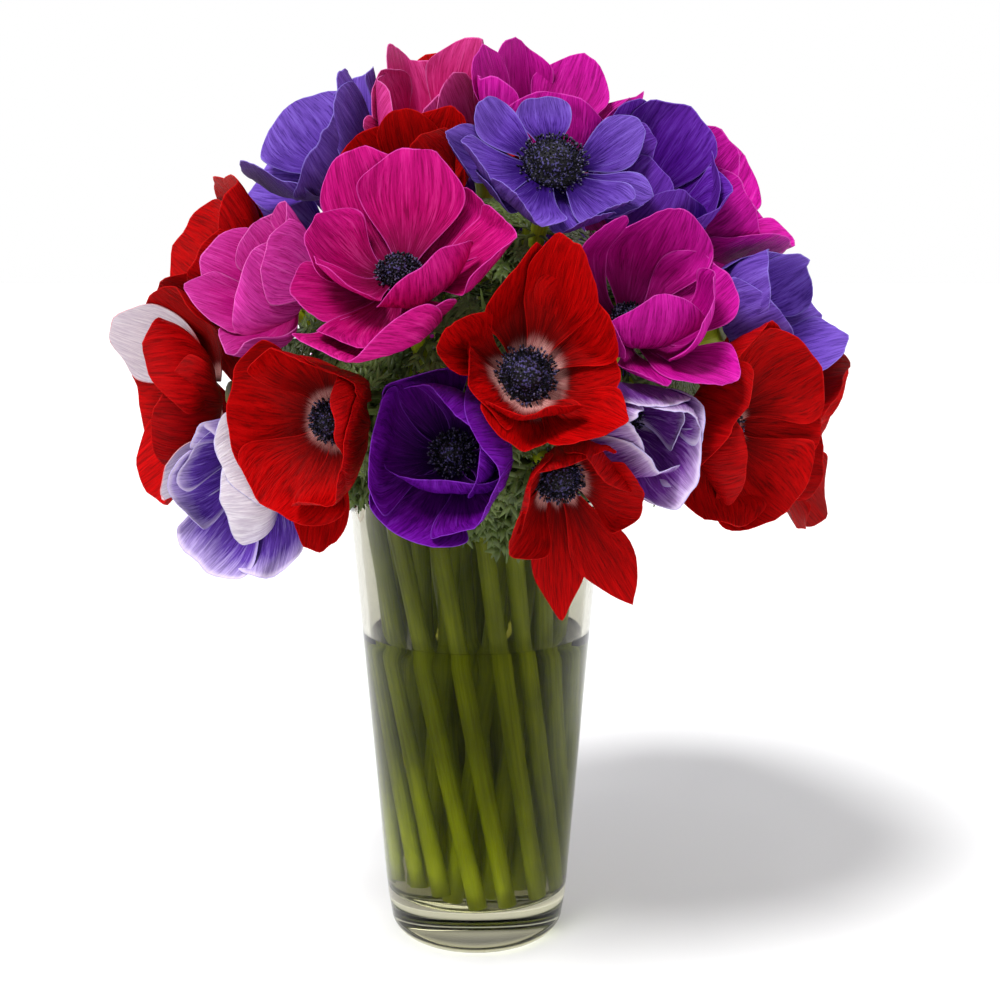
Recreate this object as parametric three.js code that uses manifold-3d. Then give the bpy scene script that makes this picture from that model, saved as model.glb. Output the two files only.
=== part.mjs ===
// A bouquet of anemones standing in a tapered clear glass vase, part filled with water.
// Millimetres, +Z up. The origin is the middle of the vase's flat foot, and the bouquet's front faces -Y.

import * as THREE from "three";
import { mergeVertices } from "three/addons/utils/BufferGeometryUtils.js";
import Module from "manifold-3d";

const wasm = await Module();
wasm.setup();

// Vase and water
const VASE_HEIGHT = 182;
const VASE_RADIUS_AT_FOOT = 35;
const VASE_FLARE = 0.083; // growth of the outer radius per millimetre of height
const WALL = 3;
const GLASS_BASE = 19; // thickness of the solid glass under the water
const FOOT_ROUNDING = 9;
const INNER_ROUNDING = 4;
const WATER_LEVEL = 125;
const VASE_SIDES = 36;
const FIT_GAP = 0.3; // clearance between neighbouring pieces

// Stems
const STEM_RADIUS = 3.5;
const STEM_SIDES = 5;
const STEM_STEPS = 7;
const STEM_RINGS = [
  { count: 14, footRadius: 27.5, rimRadius: 42.2, twist: 58 },
  { count: 9, footRadius: 17.4, rimRadius: 29, twist: -50 },
  { count: 5, footRadius: 9.2, rimRadius: 15, twist: 80 },
  { count: 1, footRadius: 0, rimRadius: 0, twist: 0 },
];
const STEM_CROWDING = 0.55; // how far a stem leans at the rim from its even place to its bloom's side
const FOOT_SPREAD = 0.12; // how unevenly the feet stand round their ring, in radians
const FOOT_RAISE = 14; // half of the stems are cut shorter, by up to half of this

// Blooms
const BOUQUET_CENTRE = new THREE.Vector3(3, 0, 208);
const STEM_ZONE = 88; // radius of the ball round the bouquet's centre that petals stay out of
const DISC_RISE = 6; // from the root of the petals to the widest ring of the dark centre
const DISC_RADIUS = 11;
const CORE_DEPTH = 4;
const CORE_SIDES = 6;
const PETAL_THICKNESS = 0.8;
const PETAL_COLUMNS = 2;
const PETAL_ROWS = 2;
const PETAL_ROOT_RADIUS = 4.5;
const TIP_ROUNDING = 0.24; // share of the length by which a petal is shorter at its edges
const MERGE_WITHIN = [0.3, 0.35, 0.4, 0.45, 0.5, 0.25, 0.2]; // points this close become one: the first
const POINTS_APART = 0.004; // distance that leaves no two points closer than this is used
const BOWL = 1.7; // how late a petal turns from its flare to its own angle: 1 makes a round bowl
const PETAL_FLARE = 95; // angle between petal and axis where the petal leaves its root
const SITE_RISE = 20; // two blooms' wall lies square to the line between points this far out on their axes
const WAIST_RISE = 10; // and passes between points this far out
const WALL_REACH = 130; // blooms further apart than this share no wall
const FRONT = new THREE.Vector3(0, -1, 0);
const LEAST_OPEN = -20; // a petal in the way of a neighbour closes step by step, down to this angle,
const LEAN_STEP = 3;
const LEAN_DEPTH = 3; // until its middle line runs no deeper than this into the wall
const LEAN_TESTS = [0.45, 0.6, 0.75, 0.9, 1];
const CELL_MARGIN = 0.7;
const LAYER_MARGIN = 0.9; // further inside for each inner layer, so that pressed petals stay in layers
const LAYER_RISE = 2.2; // each inner layer is rooted this much further along the axis
const LAYER_ANGLE = 9; // and opens this much less
const SOFT_EDGE = 5;
const LIFT_SHARE = 0.6;

// Leaves under the blooms
const BRACT_DROP = [12, 20];
const BRACT_LENGTH = 19;
const BRACT_WIDTH = 4.6;
const BRACT_LEAVES = 2;
const BRACT_FINGERS = 1;

const COLOURS = {
  red: "#c4060a",
  magenta: "#bd1284",
  violet: "#5c46b4",
  purple: "#3c0a78",
  plum: "#4b2da0",
  pink: "#d23cb4",
  stem: "#64781e",
  glass: "#dfeae6",
  water: "#e6efe2",
};

// A bloom whose petals are drawn by one rule.
const ruled = (name, colour, at, turn, tilt, radius, seed, count) => {
  return { name, colour, at, turn, tilt, radius, seed, count };
};

// Where each bloom's dark centre is, which way it faces (turn: 0 is the front, 90 is +X; tilt: up) and its
// petals: [clock, open, curl, length, width, cup, wave, twist, layer, point] for each. Front is how far
// forward its walls with neighbours lean, and disc scales its dark centre.
const BLOOMS = [
  { name: "violet_front", colour: "violet", at: [28, -66, 307], turn: 6, tilt: 36,
    radius: 43, front: 40, disc: 1.15, petals: [
      [-3, 104, 0, 28, 21, 0.3, 0.08, 0, 1, 0],
      [72, 104, 0, 32, 21, 0.3, 0.08, 0, 0, 0],
      [120, 104, 4, 36, 23, 0.25, 0.1, 0, 1, 0],
      [163, 106, 4, 37, 24, 0.3, 0.1, 0, 0, 0],
      [-124, 102, 0, 32, 22, 0.35, 0.1, 0, 1, 0],
      [-84, 102, 4, 39, 22, 0.3, 0.1, 0, 0, 0],
      [-50, 104, 0, 32, 19, 0.35, 0.1, 0, 1, 0],
      [-106, 112, 0, 35, 26, 0.3, 0.1, 0, 2, 0],
      [-152, 114, 6, 42, 32, 0.3, 0.1, 0, 2, 0],
      [142, 114, 6, 32, 24, 0.3, 0.1, 0, 2, 0],
    ] },
  { name: "magenta_front", colour: "magenta", at: [-24, -98, 271], turn: -10, tilt: 50,
    radius: 47, front: 30, disc: 0.72, petals: [
      [-25, 34, -4, 49, 36, 0.5, 0.08, 0, 0, 0],
      [4, 36, -6, 44, 40, 0.5, 0.08, 0, 1, 0],
      [46, 44, 0, 40, 36, 0.5, 0.1, 0, 0, 0],
      [88, 50, 0, 44, 42, 0.5, 0.1, 0, 1, 0],
      [134, 10, -24, 38, 42, 0.6, 0.08, 0, 0, 0],
      [178, 98, 6, 60, 56, 0.4, 0.1, 0, 0, 0],
      [172, 72, 2, 42, 50, 0.45, 0.1, 0, 1, 0],
      [-138, 26, 14, 34, 34, 0.4, 0.1, 0, 2, 0.15],
      [-78, 34, 0, 33, 34, 0.5, 0.1, 0, 1, 0],
      [-118, 54, 6, 34, 32, 0.4, 0.1, 0, 0, 0],
    ] },
  { name: "red_front", colour: "red", at: [18, -117, 238], turn: 4, tilt: 20,
    radius: 40, front: 34, disc: 0.95, petals: [
      [-2, 56, -8, 48, 46, 0.45, 0.12, 0, 0, 0.3],
      [46, 38, -6, 38, 38, 0.45, 0.12, 0, 1, 0],
      [24, 66, 0, 50, 32, 0.4, 0.1, 0, 2, 0],
      [88, 56, 0, 30, 34, 0.4, 0.12, 0, 0, 0],
      [134, 58, 0, 38, 32, 0.4, 0.12, 0, 1, 0],
      [-168, 42, 0, 27, 34, 0.4, 0.12, 0, 0, 0],
      [176, 20, -14, 24, 34, 0.6, 0.14, 0, 2, 0],
      [-112, 28, -16, 25, 34, 0.55, 0.14, 0, 1, 0],
      [-66, 66, 0, 40, 34, 0.4, 0.12, 0, 0, 0.25],
    ] },
  { name: "red_left", colour: "red", at: [-46, -106, 222], turn: -12, tilt: -2,
    radius: 38, front: 17, disc: 0.72, petals: [
      [-80, 78, 0, 34, 48, 0.35, 0.12, 0, 0, 0],
      [-18, 46, -4, 34, 40, 0.45, 0.14, 0, 1, 0],
      [32, 30, -26, 38, 38, 0.5, 0.14, 0, 0, 0],
      [76, 44, -36, 42, 38, 0.5, 0.14, 0, 1, 0],
      [112, 42, -24, 42, 38, 0.5, 0.14, 0, 0, 0],
      [158, 30, -26, 38, 40, 0.6, 0.14, 0, 2, 0],
      [-148, 46, -4, 35, 42, 0.4, 0.14, 0, 1, 0],
      [-169, 80, 0, 42, 22, 0.5, 0.16, 0, 0, 0],
    ] },
  { name: "purple_front", colour: "purple", at: [-6, -112, 212], turn: -6, tilt: 20,
    radius: 43, front: 20, disc: 0.75, petals: [
      [-35, 32, -4, 38, 46, 0.45, 0.1, 0, 0, 0],
      [22, 30, -6, 38, 44, 0.5, 0.1, 0, 1, 0],
      [74, 32, -6, 39, 42, 0.5, 0.1, 0, 0, 0],
      [104, 10, -34, 28, 30, 0.6, 0.1, 0, 2, 0],
      [146, 36, -8, 34, 42, 0.45, 0.1, 0, 1, 0],
      [-174, 10, -24, 24, 44, 0.55, 0.08, 0, 2, 0],
      [-146, 42, -8, 34, 46, 0.45, 0.1, 0, 0, 0],
      [-92, 44, -4, 38, 46, 0.45, 0.1, 0, 1, 0],
    ] },
  { name: "red_low", colour: "red", at: [29, -109, 204], turn: 8, tilt: -6,
    radius: 36, front: 32, disc: 0.86, petals: [
      [-12, 34, -50, 34, 46, 0.5, 0.12, 0, 1, 0],
      [46, 40, -30, 36, 38, 0.5, 0.14, 0, 0, 0],
      [98, 44, -12, 30, 32, 0.5, 0.14, 0, 1, 0],
      [150, 78, 0, 48, 26, 0.4, 0.14, 0, 1, 0.3],
      [177, 80, 0, 47, 24, 0.45, 0.12, 0, 0, 0.3],
      [-134, 50, -6, 30, 32, 0.5, 0.12, 0, 1, 0],
      [-80, 40, -26, 36, 40, 0.5, 0.12, 0, 0, 0],
    ] },
  { name: "violet_right", colour: "violet", at: [49, -102, 223], turn: 16, tilt: 0,
    radius: 37, front: 12, disc: 0.8, petals: [
      [10, 34, -8, 36, 42, 0.5, 0.12, 0, 0, 0],
      [56, 42, -6, 36, 44, 0.45, 0.1, 0, 1, 0],
      [100, 44, -6, 34, 42, 0.5, 0.1, 0, 0, 0],
      [84, 20, -26, 27, 26, 0.6, 0.1, 0, 2, 0],
      [142, 46, -4, 36, 42, 0.45, 0.12, 0, 1, 0],
      [-172, 40, -4, 36, 42, 0.4, 0.12, 0, 0, 0],
      [-125, 40, -8, 34, 36, 0.5, 0.12, 0, 1, 0],
      [-50, 36, -8, 32, 34, 0.5, 0.12, 0, 2, 0],
    ] },
  { name: "magenta_right", colour: "magenta", at: [54, -88, 254], turn: 22, tilt: 44,
    radius: 40, front: 38, disc: 0.7, petals: [
      [-34, 20, 0, 50, 22, 0.6, 0.12, 0, 1, 0],
      [26, 50, -4, 48, 44, 0.45, 0.12, 0, 0, 0],
      [72, 64, 0, 38, 40, 0.45, 0.12, 0, 1, 0],
      [122, -8, -20, 44, 46, 0.6, 0.12, 0, 0, 0],
      [178, -10, -24, 36, 40, 0.5, 0.12, 0, 2, 0.1],
      [154, 60, 6, 42, 34, 0.45, 0.14, 0, 1, 0],
      [-166, 74, 0, 42, 18, 0.45, 0.12, 0, 0, 0],
      [-112, 40, 6, 32, 32, 0.45, 0.12, 0, 1, 0],
      [-70, 46, 0, 32, 30, 0.45, 0.12, 0, 0, 0],
    ] },
  { name: "red_right", colour: "red", at: [87, -80, 217], turn: 26, tilt: -2,
    radius: 40, front: 4, disc: 0.75, petals: [
      [3, 50, -8, 39, 44, 0.45, 0.12, 0, 0, 0],
      [46, 54, -6, 38, 46, 0.5, 0.14, 0, 1, 0],
      [96, 56, -6, 35, 46, 0.5, 0.14, 0, 0, 0],
      [146, 54, -6, 36, 46, 0.45, 0.14, 0, 1, 0],
      [-158, 34, -8, 36, 46, 0.45, 0.14, 0, 0, 0],
      [-106, -12, -24, 40, 44, 0.5, 0.14, 0, 2, 0],
      [-60, 0, -22, 42, 44, 0.5, 0.14, 0, 1, 0],
    ] },
  { name: "red_far_right", colour: "red", at: [121, -24, 209], turn: 66, tilt: -6,
    radius: 40, front: -8, disc: 0.75, petals: [
      [16, 50, 0, 40, 40, 0.45, 0.14, 0, 0, 0],
      [62, 66, 8, 44, 40, 0.4, 0.16, 0, 1, 0.1],
      [106, 66, 8, 42, 36, 0.45, 0.16, 0, 0, 0],
      [146, 60, 8, 44, 38, 0.4, 0.16, 0, 1, 0.1],
      [-160, 44, 0, 38, 40, 0.45, 0.12, 0, 0, 0],
      [-100, 30, 0, 38, 40, 0.45, 0.12, 0, 1, 0],
      [-40, 40, 0, 38, 40, 0.45, 0.12, 0, 2, 0],
    ] },
  { name: "violet_far_right", colour: "violet", at: [97, -46, 252], turn: 56, tilt: 24,
    radius: 38, front: -14, disc: 0.75, petals: [
      [0, 26, -10, 36, 42, 0.5, 0.12, 0, 0, 0],
      [52, 40, -4, 38, 44, 0.5, 0.12, 0, 1, 0],
      [100, 56, 4, 44, 44, 0.45, 0.12, 0, 0, 0],
      [146, 60, 0, 44, 42, 0.45, 0.12, 0, 1, 0],
      [-168, 26, -16, 38, 42, 0.45, 0.12, 0, 0, 0],
      [-115, 10, -26, 38, 42, 0.5, 0.12, 0, 1, 0],
      [-60, 20, -16, 38, 42, 0.45, 0.12, 0, 2, 0],
    ] },
  { name: "magenta_high_right", colour: "magenta", at: [86, -24, 287], turn: 58, tilt: 36,
    radius: 41, front: -6, disc: 0.75, petals: [
      [0, 46, -4, 44, 44, 0.45, 0.12, 0, 0, 0],
      [50, 54, -6, 40, 46, 0.5, 0.12, 0, 1, 0],
      [100, 54, -12, 33, 44, 0.45, 0.12, 0, 0, 0],
      [150, 36, -10, 36, 46, 0.45, 0.12, 0, 1, 0],
      [-160, 18, -16, 42, 44, 0.45, 0.12, 0, 0, 0],
      [-110, 14, -20, 42, 42, 0.45, 0.12, 0, 1, 0],
      [-58, 34, -4, 42, 40, 0.45, 0.12, 0, 2, 0],
    ] },
  { name: "violet_high_right", colour: "plum", at: [56, -48, 292], turn: 22, tilt: 44,
    radius: 38, front: 6, disc: 0.75, petals: [
      [0, 36, -6, 44, 42, 0.5, 0.12, 0, 0, 0],
      [46, 34, -10, 46, 46, 0.5, 0.12, 0, 1, 0],
      [92, 30, -14, 44, 46, 0.45, 0.12, 0, 0, 0],
      [138, 26, -16, 42, 46, 0.45, 0.12, 0, 1, 0],
      [-176, 34, -10, 40, 44, 0.45, 0.12, 0, 0, 0],
      [-122, 36, -6, 38, 42, 0.45, 0.12, 0, 1, 0],
      [-62, 40, 0, 40, 38, 0.45, 0.12, 0, 2, 0],
    ] },
  { name: "magenta_top", colour: "magenta", at: [26, -18, 316], turn: 18, tilt: 60,
    radius: 39, front: 10, disc: 0.75, petals: [
      [-170, 24, -10, 42, 46, 0.45, 0.12, 0, 0, 0],
      [128, 40, 0, 42, 34, 0.4, 0.14, 0, 1, 0.1],
      [76, 46, 2, 46, 34, 0.4, 0.16, 0, 0, 0.2],
      [34, 42, 2, 47, 34, 0.45, 0.14, 0, 1, 0.15],
      [-12, 34, -4, 47, 36, 0.45, 0.14, 0, 0, 0],
      [-56, 24, -10, 46, 30, 0.6, 0.14, 0, 1, 0],
      [-104, 30, -6, 42, 38, 0.5, 0.12, 0, 2, 0],
    ] },
  { name: "pink_top", colour: "pink", at: [-20, -14, 314], turn: -14, tilt: 58,
    radius: 39, front: -16, disc: 0.75, petals: [
      [-166, 30, -16, 40, 46, 0.5, 0.12, 0, 0, 0],
      [136, 26, -16, 40, 44, 0.5, 0.12, 0, 1, 0],
      [86, 30, -8, 44, 42, 0.5, 0.12, 0, 0, 0],
      [32, 34, -8, 50, 46, 0.5, 0.12, 0, 1, 0],
      [-26, 40, -8, 46, 46, 0.5, 0.12, 0, 0, 0],
      [-74, 50, -4, 42, 44, 0.5, 0.12, 0, 1, 0],
      [-120, 44, -4, 42, 44, 0.5, 0.12, 0, 2, 0],
    ] },
  { name: "violet_top_left", colour: "violet", at: [-49, -20, 306], turn: -46, tilt: 46,
    radius: 42, front: -34, disc: 0.75, petals: [
      [-104, 66, 4, 42, 36, 0.4, 0.14, 0, 0, 0],
      [-62, 58, -4, 44, 44, 0.4, 0.14, 0, 1, 0],
      [-16, 50, -4, 44, 42, 0.45, 0.14, 0, 0, 0],
      [26, 44, 0, 42, 38, 0.4, 0.16, 0, 1, 0],
      [68, 36, 0, 44, 42, 0.45, 0.14, 0, 0, 0],
      [118, 40, 0, 42, 46, 0.45, 0.12, 0, 1, 0],
      [-168, 48, 0, 42, 44, 0.4, 0.12, 0, 2, 0],
    ] },
  { name: "red_top", colour: "red", at: [-21, -60, 296], turn: -16, tilt: 50,
    radius: 33, front: -6, disc: 0.7, petals: [
      [-58, 64, -6, 32, 38, 0.5, 0.12, 0, 0, 0],
      [-14, 50, -6, 33, 26, 0.6, 0.12, 0, 1, 0],
      [34, 66, -6, 37, 42, 0.5, 0.12, 0, 0, 0],
      [86, 58, -4, 34, 38, 0.45, 0.12, 0, 1, 0],
      [140, 24, -16, 30, 38, 0.45, 0.12, 0, 0, 0],
      [-168, 26, -14, 30, 36, 0.45, 0.12, 0, 1, 0],
      [-112, 48, 0, 32, 38, 0.45, 0.12, 0, 0, 0],
    ] },
  { name: "pink_left", colour: "pink", at: [-64, -74, 265], turn: -44, tilt: 26,
    radius: 34, front: 0, disc: 0.6, petals: [
      [-43, 50, -8, 26, 30, 0.45, 0.12, 0, 1, 0],
      [-86, 60, -4, 36, 32, 0.45, 0.12, 0, 0, 0],
      [-128, 62, 0, 40, 34, 0.45, 0.12, 0, 1, 0.15],
      [174, 50, 0, 38, 36, 0.5, 0.12, 0, 0, 0],
      [124, 4, -26, 38, 40, 0.45, 0.12, 0, 1, 0],
      [64, 34, -14, 32, 38, 0.45, 0.12, 0, 0, 0],
      [12, 46, -8, 29, 32, 0.45, 0.12, 0, 2, 0.15],
    ] },
  { name: "red_high_left", colour: "red", at: [-88, -34, 264], turn: -72, tilt: 24,
    radius: 40, front: -24, disc: 0.75, petals: [
      [-20, 50, -6, 44, 46, 0.45, 0.12, 0, 0, 0],
      [34, 50, -6, 44, 44, 0.45, 0.12, 0, 1, 0],
      [86, 22, -14, 40, 42, 0.45, 0.12, 0, 0, 0],
      [136, 24, -14, 40, 42, 0.45, 0.12, 0, 1, 0],
      [-172, 56, 0, 42, 42, 0.45, 0.12, 0, 0, 0],
      [-124, 60, -4, 44, 44, 0.45, 0.12, 0, 1, 0],
      [-74, 56, -6, 44, 44, 0.45, 0.12, 0, 2, 0],
    ] },
  { name: "red_far_left", colour: "red", at: [-96, -60, 226], turn: -60, tilt: 4,
    radius: 42, front: -10, disc: 0.75, petals: [
      [-6, 54, 0, 42, 38, 0.4, 0.12, 0, 0, 0],
      [-50, 62, 0, 46, 42, 0.4, 0.12, 0, 1, 0],
      [-96, 56, -6, 44, 50, 0.4, 0.12, 0, 0, 0],
      [-146, 60, -4, 44, 46, 0.4, 0.12, 0, 1, 0],
      [164, 48, 0, 42, 44, 0.4, 0.12, 0, 0, 0],
      [110, 8, -28, 40, 46, 0.5, 0.12, 0, 1, 0],
      [50, 16, -20, 40, 44, 0.5, 0.12, 0, 2, 0],
    ] },
  { name: "violet_low_left", colour: "violet", at: [-76, -82, 203], turn: -38, tilt: -8,
    radius: 35, front: -14, disc: 0.7, petals: [
      [-40, 50, 0, 34, 40, 0.4, 0.14, 0, 1, 0],
      [-94, 60, -4, 37, 42, 0.4, 0.14, 0, 0, 0],
      [-146, 60, 0, 42, 42, 0.4, 0.16, 0, 1, 0],
      [160, 48, -4, 38, 42, 0.4, 0.14, 0, 0, 0],
      [106, -10, -20, 40, 42, 0.4, 0.14, 0, 1, 0],
      [56, -10, -24, 38, 40, 0.5, 0.16, 0, 0, 0],
      [10, 34, -10, 34, 38, 0.5, 0.14, 0, 2, 0],
    ] },
  ruled("red_back_right", "red", [92, 44, 212], 116, 4, 40, 17, 5),
  ruled("violet_back_low", "violet", [44, 98, 206], 154, 0, 40, 19, 5),
  ruled("magenta_back_low", "magenta", [-32, 102, 208], -163, 2, 40, 18, 5),
  ruled("red_back_left", "red", [-97, 40, 208], -110, 4, 40, 31, 5),
  ruled("magenta_back_right", "magenta", [66, 44, 274], 124, 36, 39, 23, 5),
  ruled("plum_back", "plum", [6, 82, 272], 178, 36, 40, 20, 5),
  ruled("violet_back_left", "violet", [-56, 54, 276], -136, 38, 39, 22, 5),
  ruled("red_back_high", "red", [4, 36, 314], 176, 70, 39, 21, 5),
];

// Rules for the petals of blooms that have no list of their own.
const RULED = { open: 80, curl: -4, cup: 0.35, wave: 0.13, outer: 1.3, inner: 1.15 };
const RULED_SPREAD = { clock: 20, open: 12, length: 0.14, width: 0.12, curl: 16, twist: 14 };
const SEED_TURN = 40; // degrees by which one seed's ring of petals is turned against the next one's

const rad = THREE.MathUtils.degToRad;
const clamp = THREE.MathUtils.clamp;

// A repeatable number from 0 to 1 for a seed and an index.
function draw(seed, index) {
  const x = Math.sin(seed * 12.9898 + index * 78.233) * 43758.5453;
  return x - Math.floor(x);
}

// A closed three.js geometry as a solid.
function solidOf(geometry) {
  const bare = new THREE.BufferGeometry();
  const source = geometry.index ? geometry.toNonIndexed() : geometry;
  bare.setAttribute("position", source.getAttribute("position"));
  const merged = mergeVertices(bare, 1e-4);
  return new wasm.Manifold(
    new wasm.Mesh({
      numProp: 3,
      vertProperties: new Float32Array(merged.attributes.position.array),
      triVerts: new Uint32Array(merged.index.array),
    }),
  );
}

// A solid as a three.js geometry, without scraps or sealed hollows: the body of largest volume is kept.
function geometryOf(solid) {
  const shapes = MERGE_WITHIN.map((distance) => {
    const bodies = solid.simplify(distance).decompose();
    const mesh = bodies.reduce((a, b) => (b.volume() > a.volume() ? b : a)).getMesh();
    const geometry = new THREE.BufferGeometry();
    geometry.setAttribute("position", new THREE.BufferAttribute(mesh.vertProperties, 3));
    geometry.setIndex(new THREE.BufferAttribute(mesh.triVerts, 1));
    return geometry;
  });
  const points = (geometry) => geometry.getAttribute("position").count;
  return shapes.find((shape) => points(mergeVertices(shape, POINTS_APART)) === points(shape)) ?? shapes[0];
}

function join(solids) {
  return solids.reduce((all, next) => all.add(next));
}

// A bloom's axes: out along its stem, up and right as seen from its front, and the root of its petals.
function bloomFrame(bloom) {
  const turn = rad(bloom.turn);
  const tilt = rad(bloom.tilt);
  const axis = new THREE.Vector3(
    Math.sin(turn) * Math.cos(tilt),
    -Math.cos(turn) * Math.cos(tilt),
    Math.sin(tilt),
  );
  const up = new THREE.Vector3(
    -Math.sin(turn) * Math.sin(tilt),
    Math.cos(turn) * Math.sin(tilt),
    Math.cos(tilt),
  );
  const right = new THREE.Vector3(Math.cos(turn), Math.sin(turn), 0);
  const root = new THREE.Vector3(...bloom.at).addScaledVector(axis, -DISC_RISE);
  const waist = root.clone().addScaledVector(axis, WAIST_RISE);
  const site = root
    .clone()
    .addScaledVector(axis, SITE_RISE)
    .addScaledVector(FRONT, bloom.front ?? 0);
  return { axis, up, right, root, waist, site };
}

// The petals of a bloom: its own list, or a ring drawn by the rule.
function petalList(bloom) {
  if (bloom.petals) return bloom.petals;
  const list = [];
  const { count } = bloom;
  for (let i = 0; i < count; i++) {
    const vary = (k) => draw(bloom.seed, i * 7 + k) - 0.5;
    const size = bloom.radius * (i % 2 ? RULED.inner : RULED.outer);
    const clock = (360 / count) * i + RULED_SPREAD.clock * vary(0) + SEED_TURN * bloom.seed;
    const open = RULED.open + RULED_SPREAD.open * vary(1);
    const length = size * (1 + RULED_SPREAD.length * vary(2));
    const width = size * (1 + RULED_SPREAD.width * vary(3));
    const curl = RULED.curl + RULED_SPREAD.curl * vary(4);
    const twist = RULED_SPREAD.twist * vary(5);
    const layer = layerOf(i, count);
    list.push([clock, open, curl, length, width, RULED.cup, RULED.wave, twist, layer, 0]);
  }
  return list;
}

// Neighbouring petals lie in different layers, and a third layer closes an odd ring.
function layerOf(k, count) {
  return k === count - 1 && count % 2 ? 2 : k % 2;
}

// The middle line of a petal in the plane of the bloom's axis: steps of [out from axis, along axis, angle].
function centreLine(open, curl, length) {
  const steps = 24;
  const line = [];
  let out = PETAL_ROOT_RADIUS;
  let along = 0;
  for (let i = 0; i <= steps; i++) {
    const t = i / steps;
    const angle = rad(open + (PETAL_FLARE - open) * (1 - t) ** BOWL + curl * t * t);
    line.push([out, along, angle]);
    out += (Math.sin(angle) * length) / steps;
    along += (Math.cos(angle) * length) / steps;
  }
  return line;
}

function alongLine(line, t) {
  const f = clamp(t, 0, 1) * (line.length - 1);
  const i = Math.min(Math.floor(f), line.length - 2);
  return line[i].map((v, k) => v + (line[i + 1][k] - v) * (f - i));
}

// Half width of a petal as a share of its widest, from the narrow root to the broad tip.
function breadth(t) {
  return 0.2 + 0.8 * THREE.MathUtils.smoothstep(t, 0, 0.68) - 0.2 * Math.max(0, (t - 0.68) / 0.32) ** 2;
}

// A point on a petal's middle surface: s runs across it from -1 to 1 and t from root to tip.
function petalPoint(frame, petal, line, s, t) {
  const [clock, , , , width, cup, wave, twist, , point] = petal;
  const reach = t * (1 - TIP_ROUNDING * Math.abs(s) ** 2.4 - point * Math.abs(s));
  const [out, along, angle] = alongLine(line, reach);
  const radial = frame.up
    .clone()
    .multiplyScalar(Math.cos(rad(clock)))
    .addScaledVector(frame.right, Math.sin(rad(clock)));
  const side = new THREE.Vector3().crossVectors(radial, frame.axis);
  const inward = frame.axis
    .clone()
    .multiplyScalar(Math.sin(angle))
    .addScaledVector(radial, -Math.cos(angle));
  const half = (width / 2) * breadth(reach);
  const across = (half * Math.sin(cup * s)) / cup;
  const ripple = Math.sin(2 * Math.PI * (1.3 * reach + clock / 97) + (s > 0 ? 2 : 0));
  const lift = (half * (1 - Math.cos(cup * s))) / cup + wave * half * s * s * reach * ripple;
  const roll = rad(twist) * reach;
  return frame.root
    .clone()
    .addScaledVector(radial, out)
    .addScaledVector(frame.axis, along)
    .addScaledVector(side, across * Math.cos(roll) - lift * Math.sin(roll))
    .addScaledVector(inward, lift * Math.cos(roll) + across * Math.sin(roll));
}

// Each bloom's share of the space: flat walls between it and its neighbours, leaning over the rear one.
function cellWalls(index, frames) {
  const walls = [];
  const { site, waist } = frames[index];
  const radius = BLOOMS[index].radius;
  frames.forEach((other, j) => {
    const across = other.waist.clone().sub(waist);
    const apart = across.length();
    if (j === index || apart > WALL_REACH) return;
    const normal = other.site.clone().sub(site).normalize();
    const share = 0.5 + (radius ** 2 - BLOOMS[j].radius ** 2) / (2 * apart ** 2);
    walls.push({ normal, height: waist.clone().addScaledVector(across, share).dot(normal) });
  });
  return walls;
}

// A petal pressed against its neighbours: it slides along the walls of its bloom's space and up from them.
function confine(point, frame, walls, margin) {
  for (let pass = 0; pass < 3; pass++) {
    for (const { normal, height } of walls) {
      const depth = point.dot(normal) - height + margin;
      if (depth <= -SOFT_EDGE) continue;
      const pressed = -SOFT_EDGE * Math.exp(-(depth + SOFT_EDGE) / SOFT_EDGE);
      point.addScaledVector(normal, pressed - depth);
      point.addScaledVector(frame.axis, LIFT_SHARE * (depth - pressed) * (pass === 0 ? 1 : 0));
    }
  }
  for (let pass = 0; pass < 12; pass++) {
    const fromCentre = point.clone().sub(BOUQUET_CENTRE);
    if (fromCentre.length() < STEM_ZONE) {
      point.copy(BOUQUET_CENTRE).addScaledVector(fromCentre.normalize(), STEM_ZONE);
    }
    for (const { normal, height } of walls) {
      const depth = point.dot(normal) - height + margin;
      if (depth > 0) point.addScaledVector(normal, -depth);
    }
  }
  return point;
}

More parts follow.
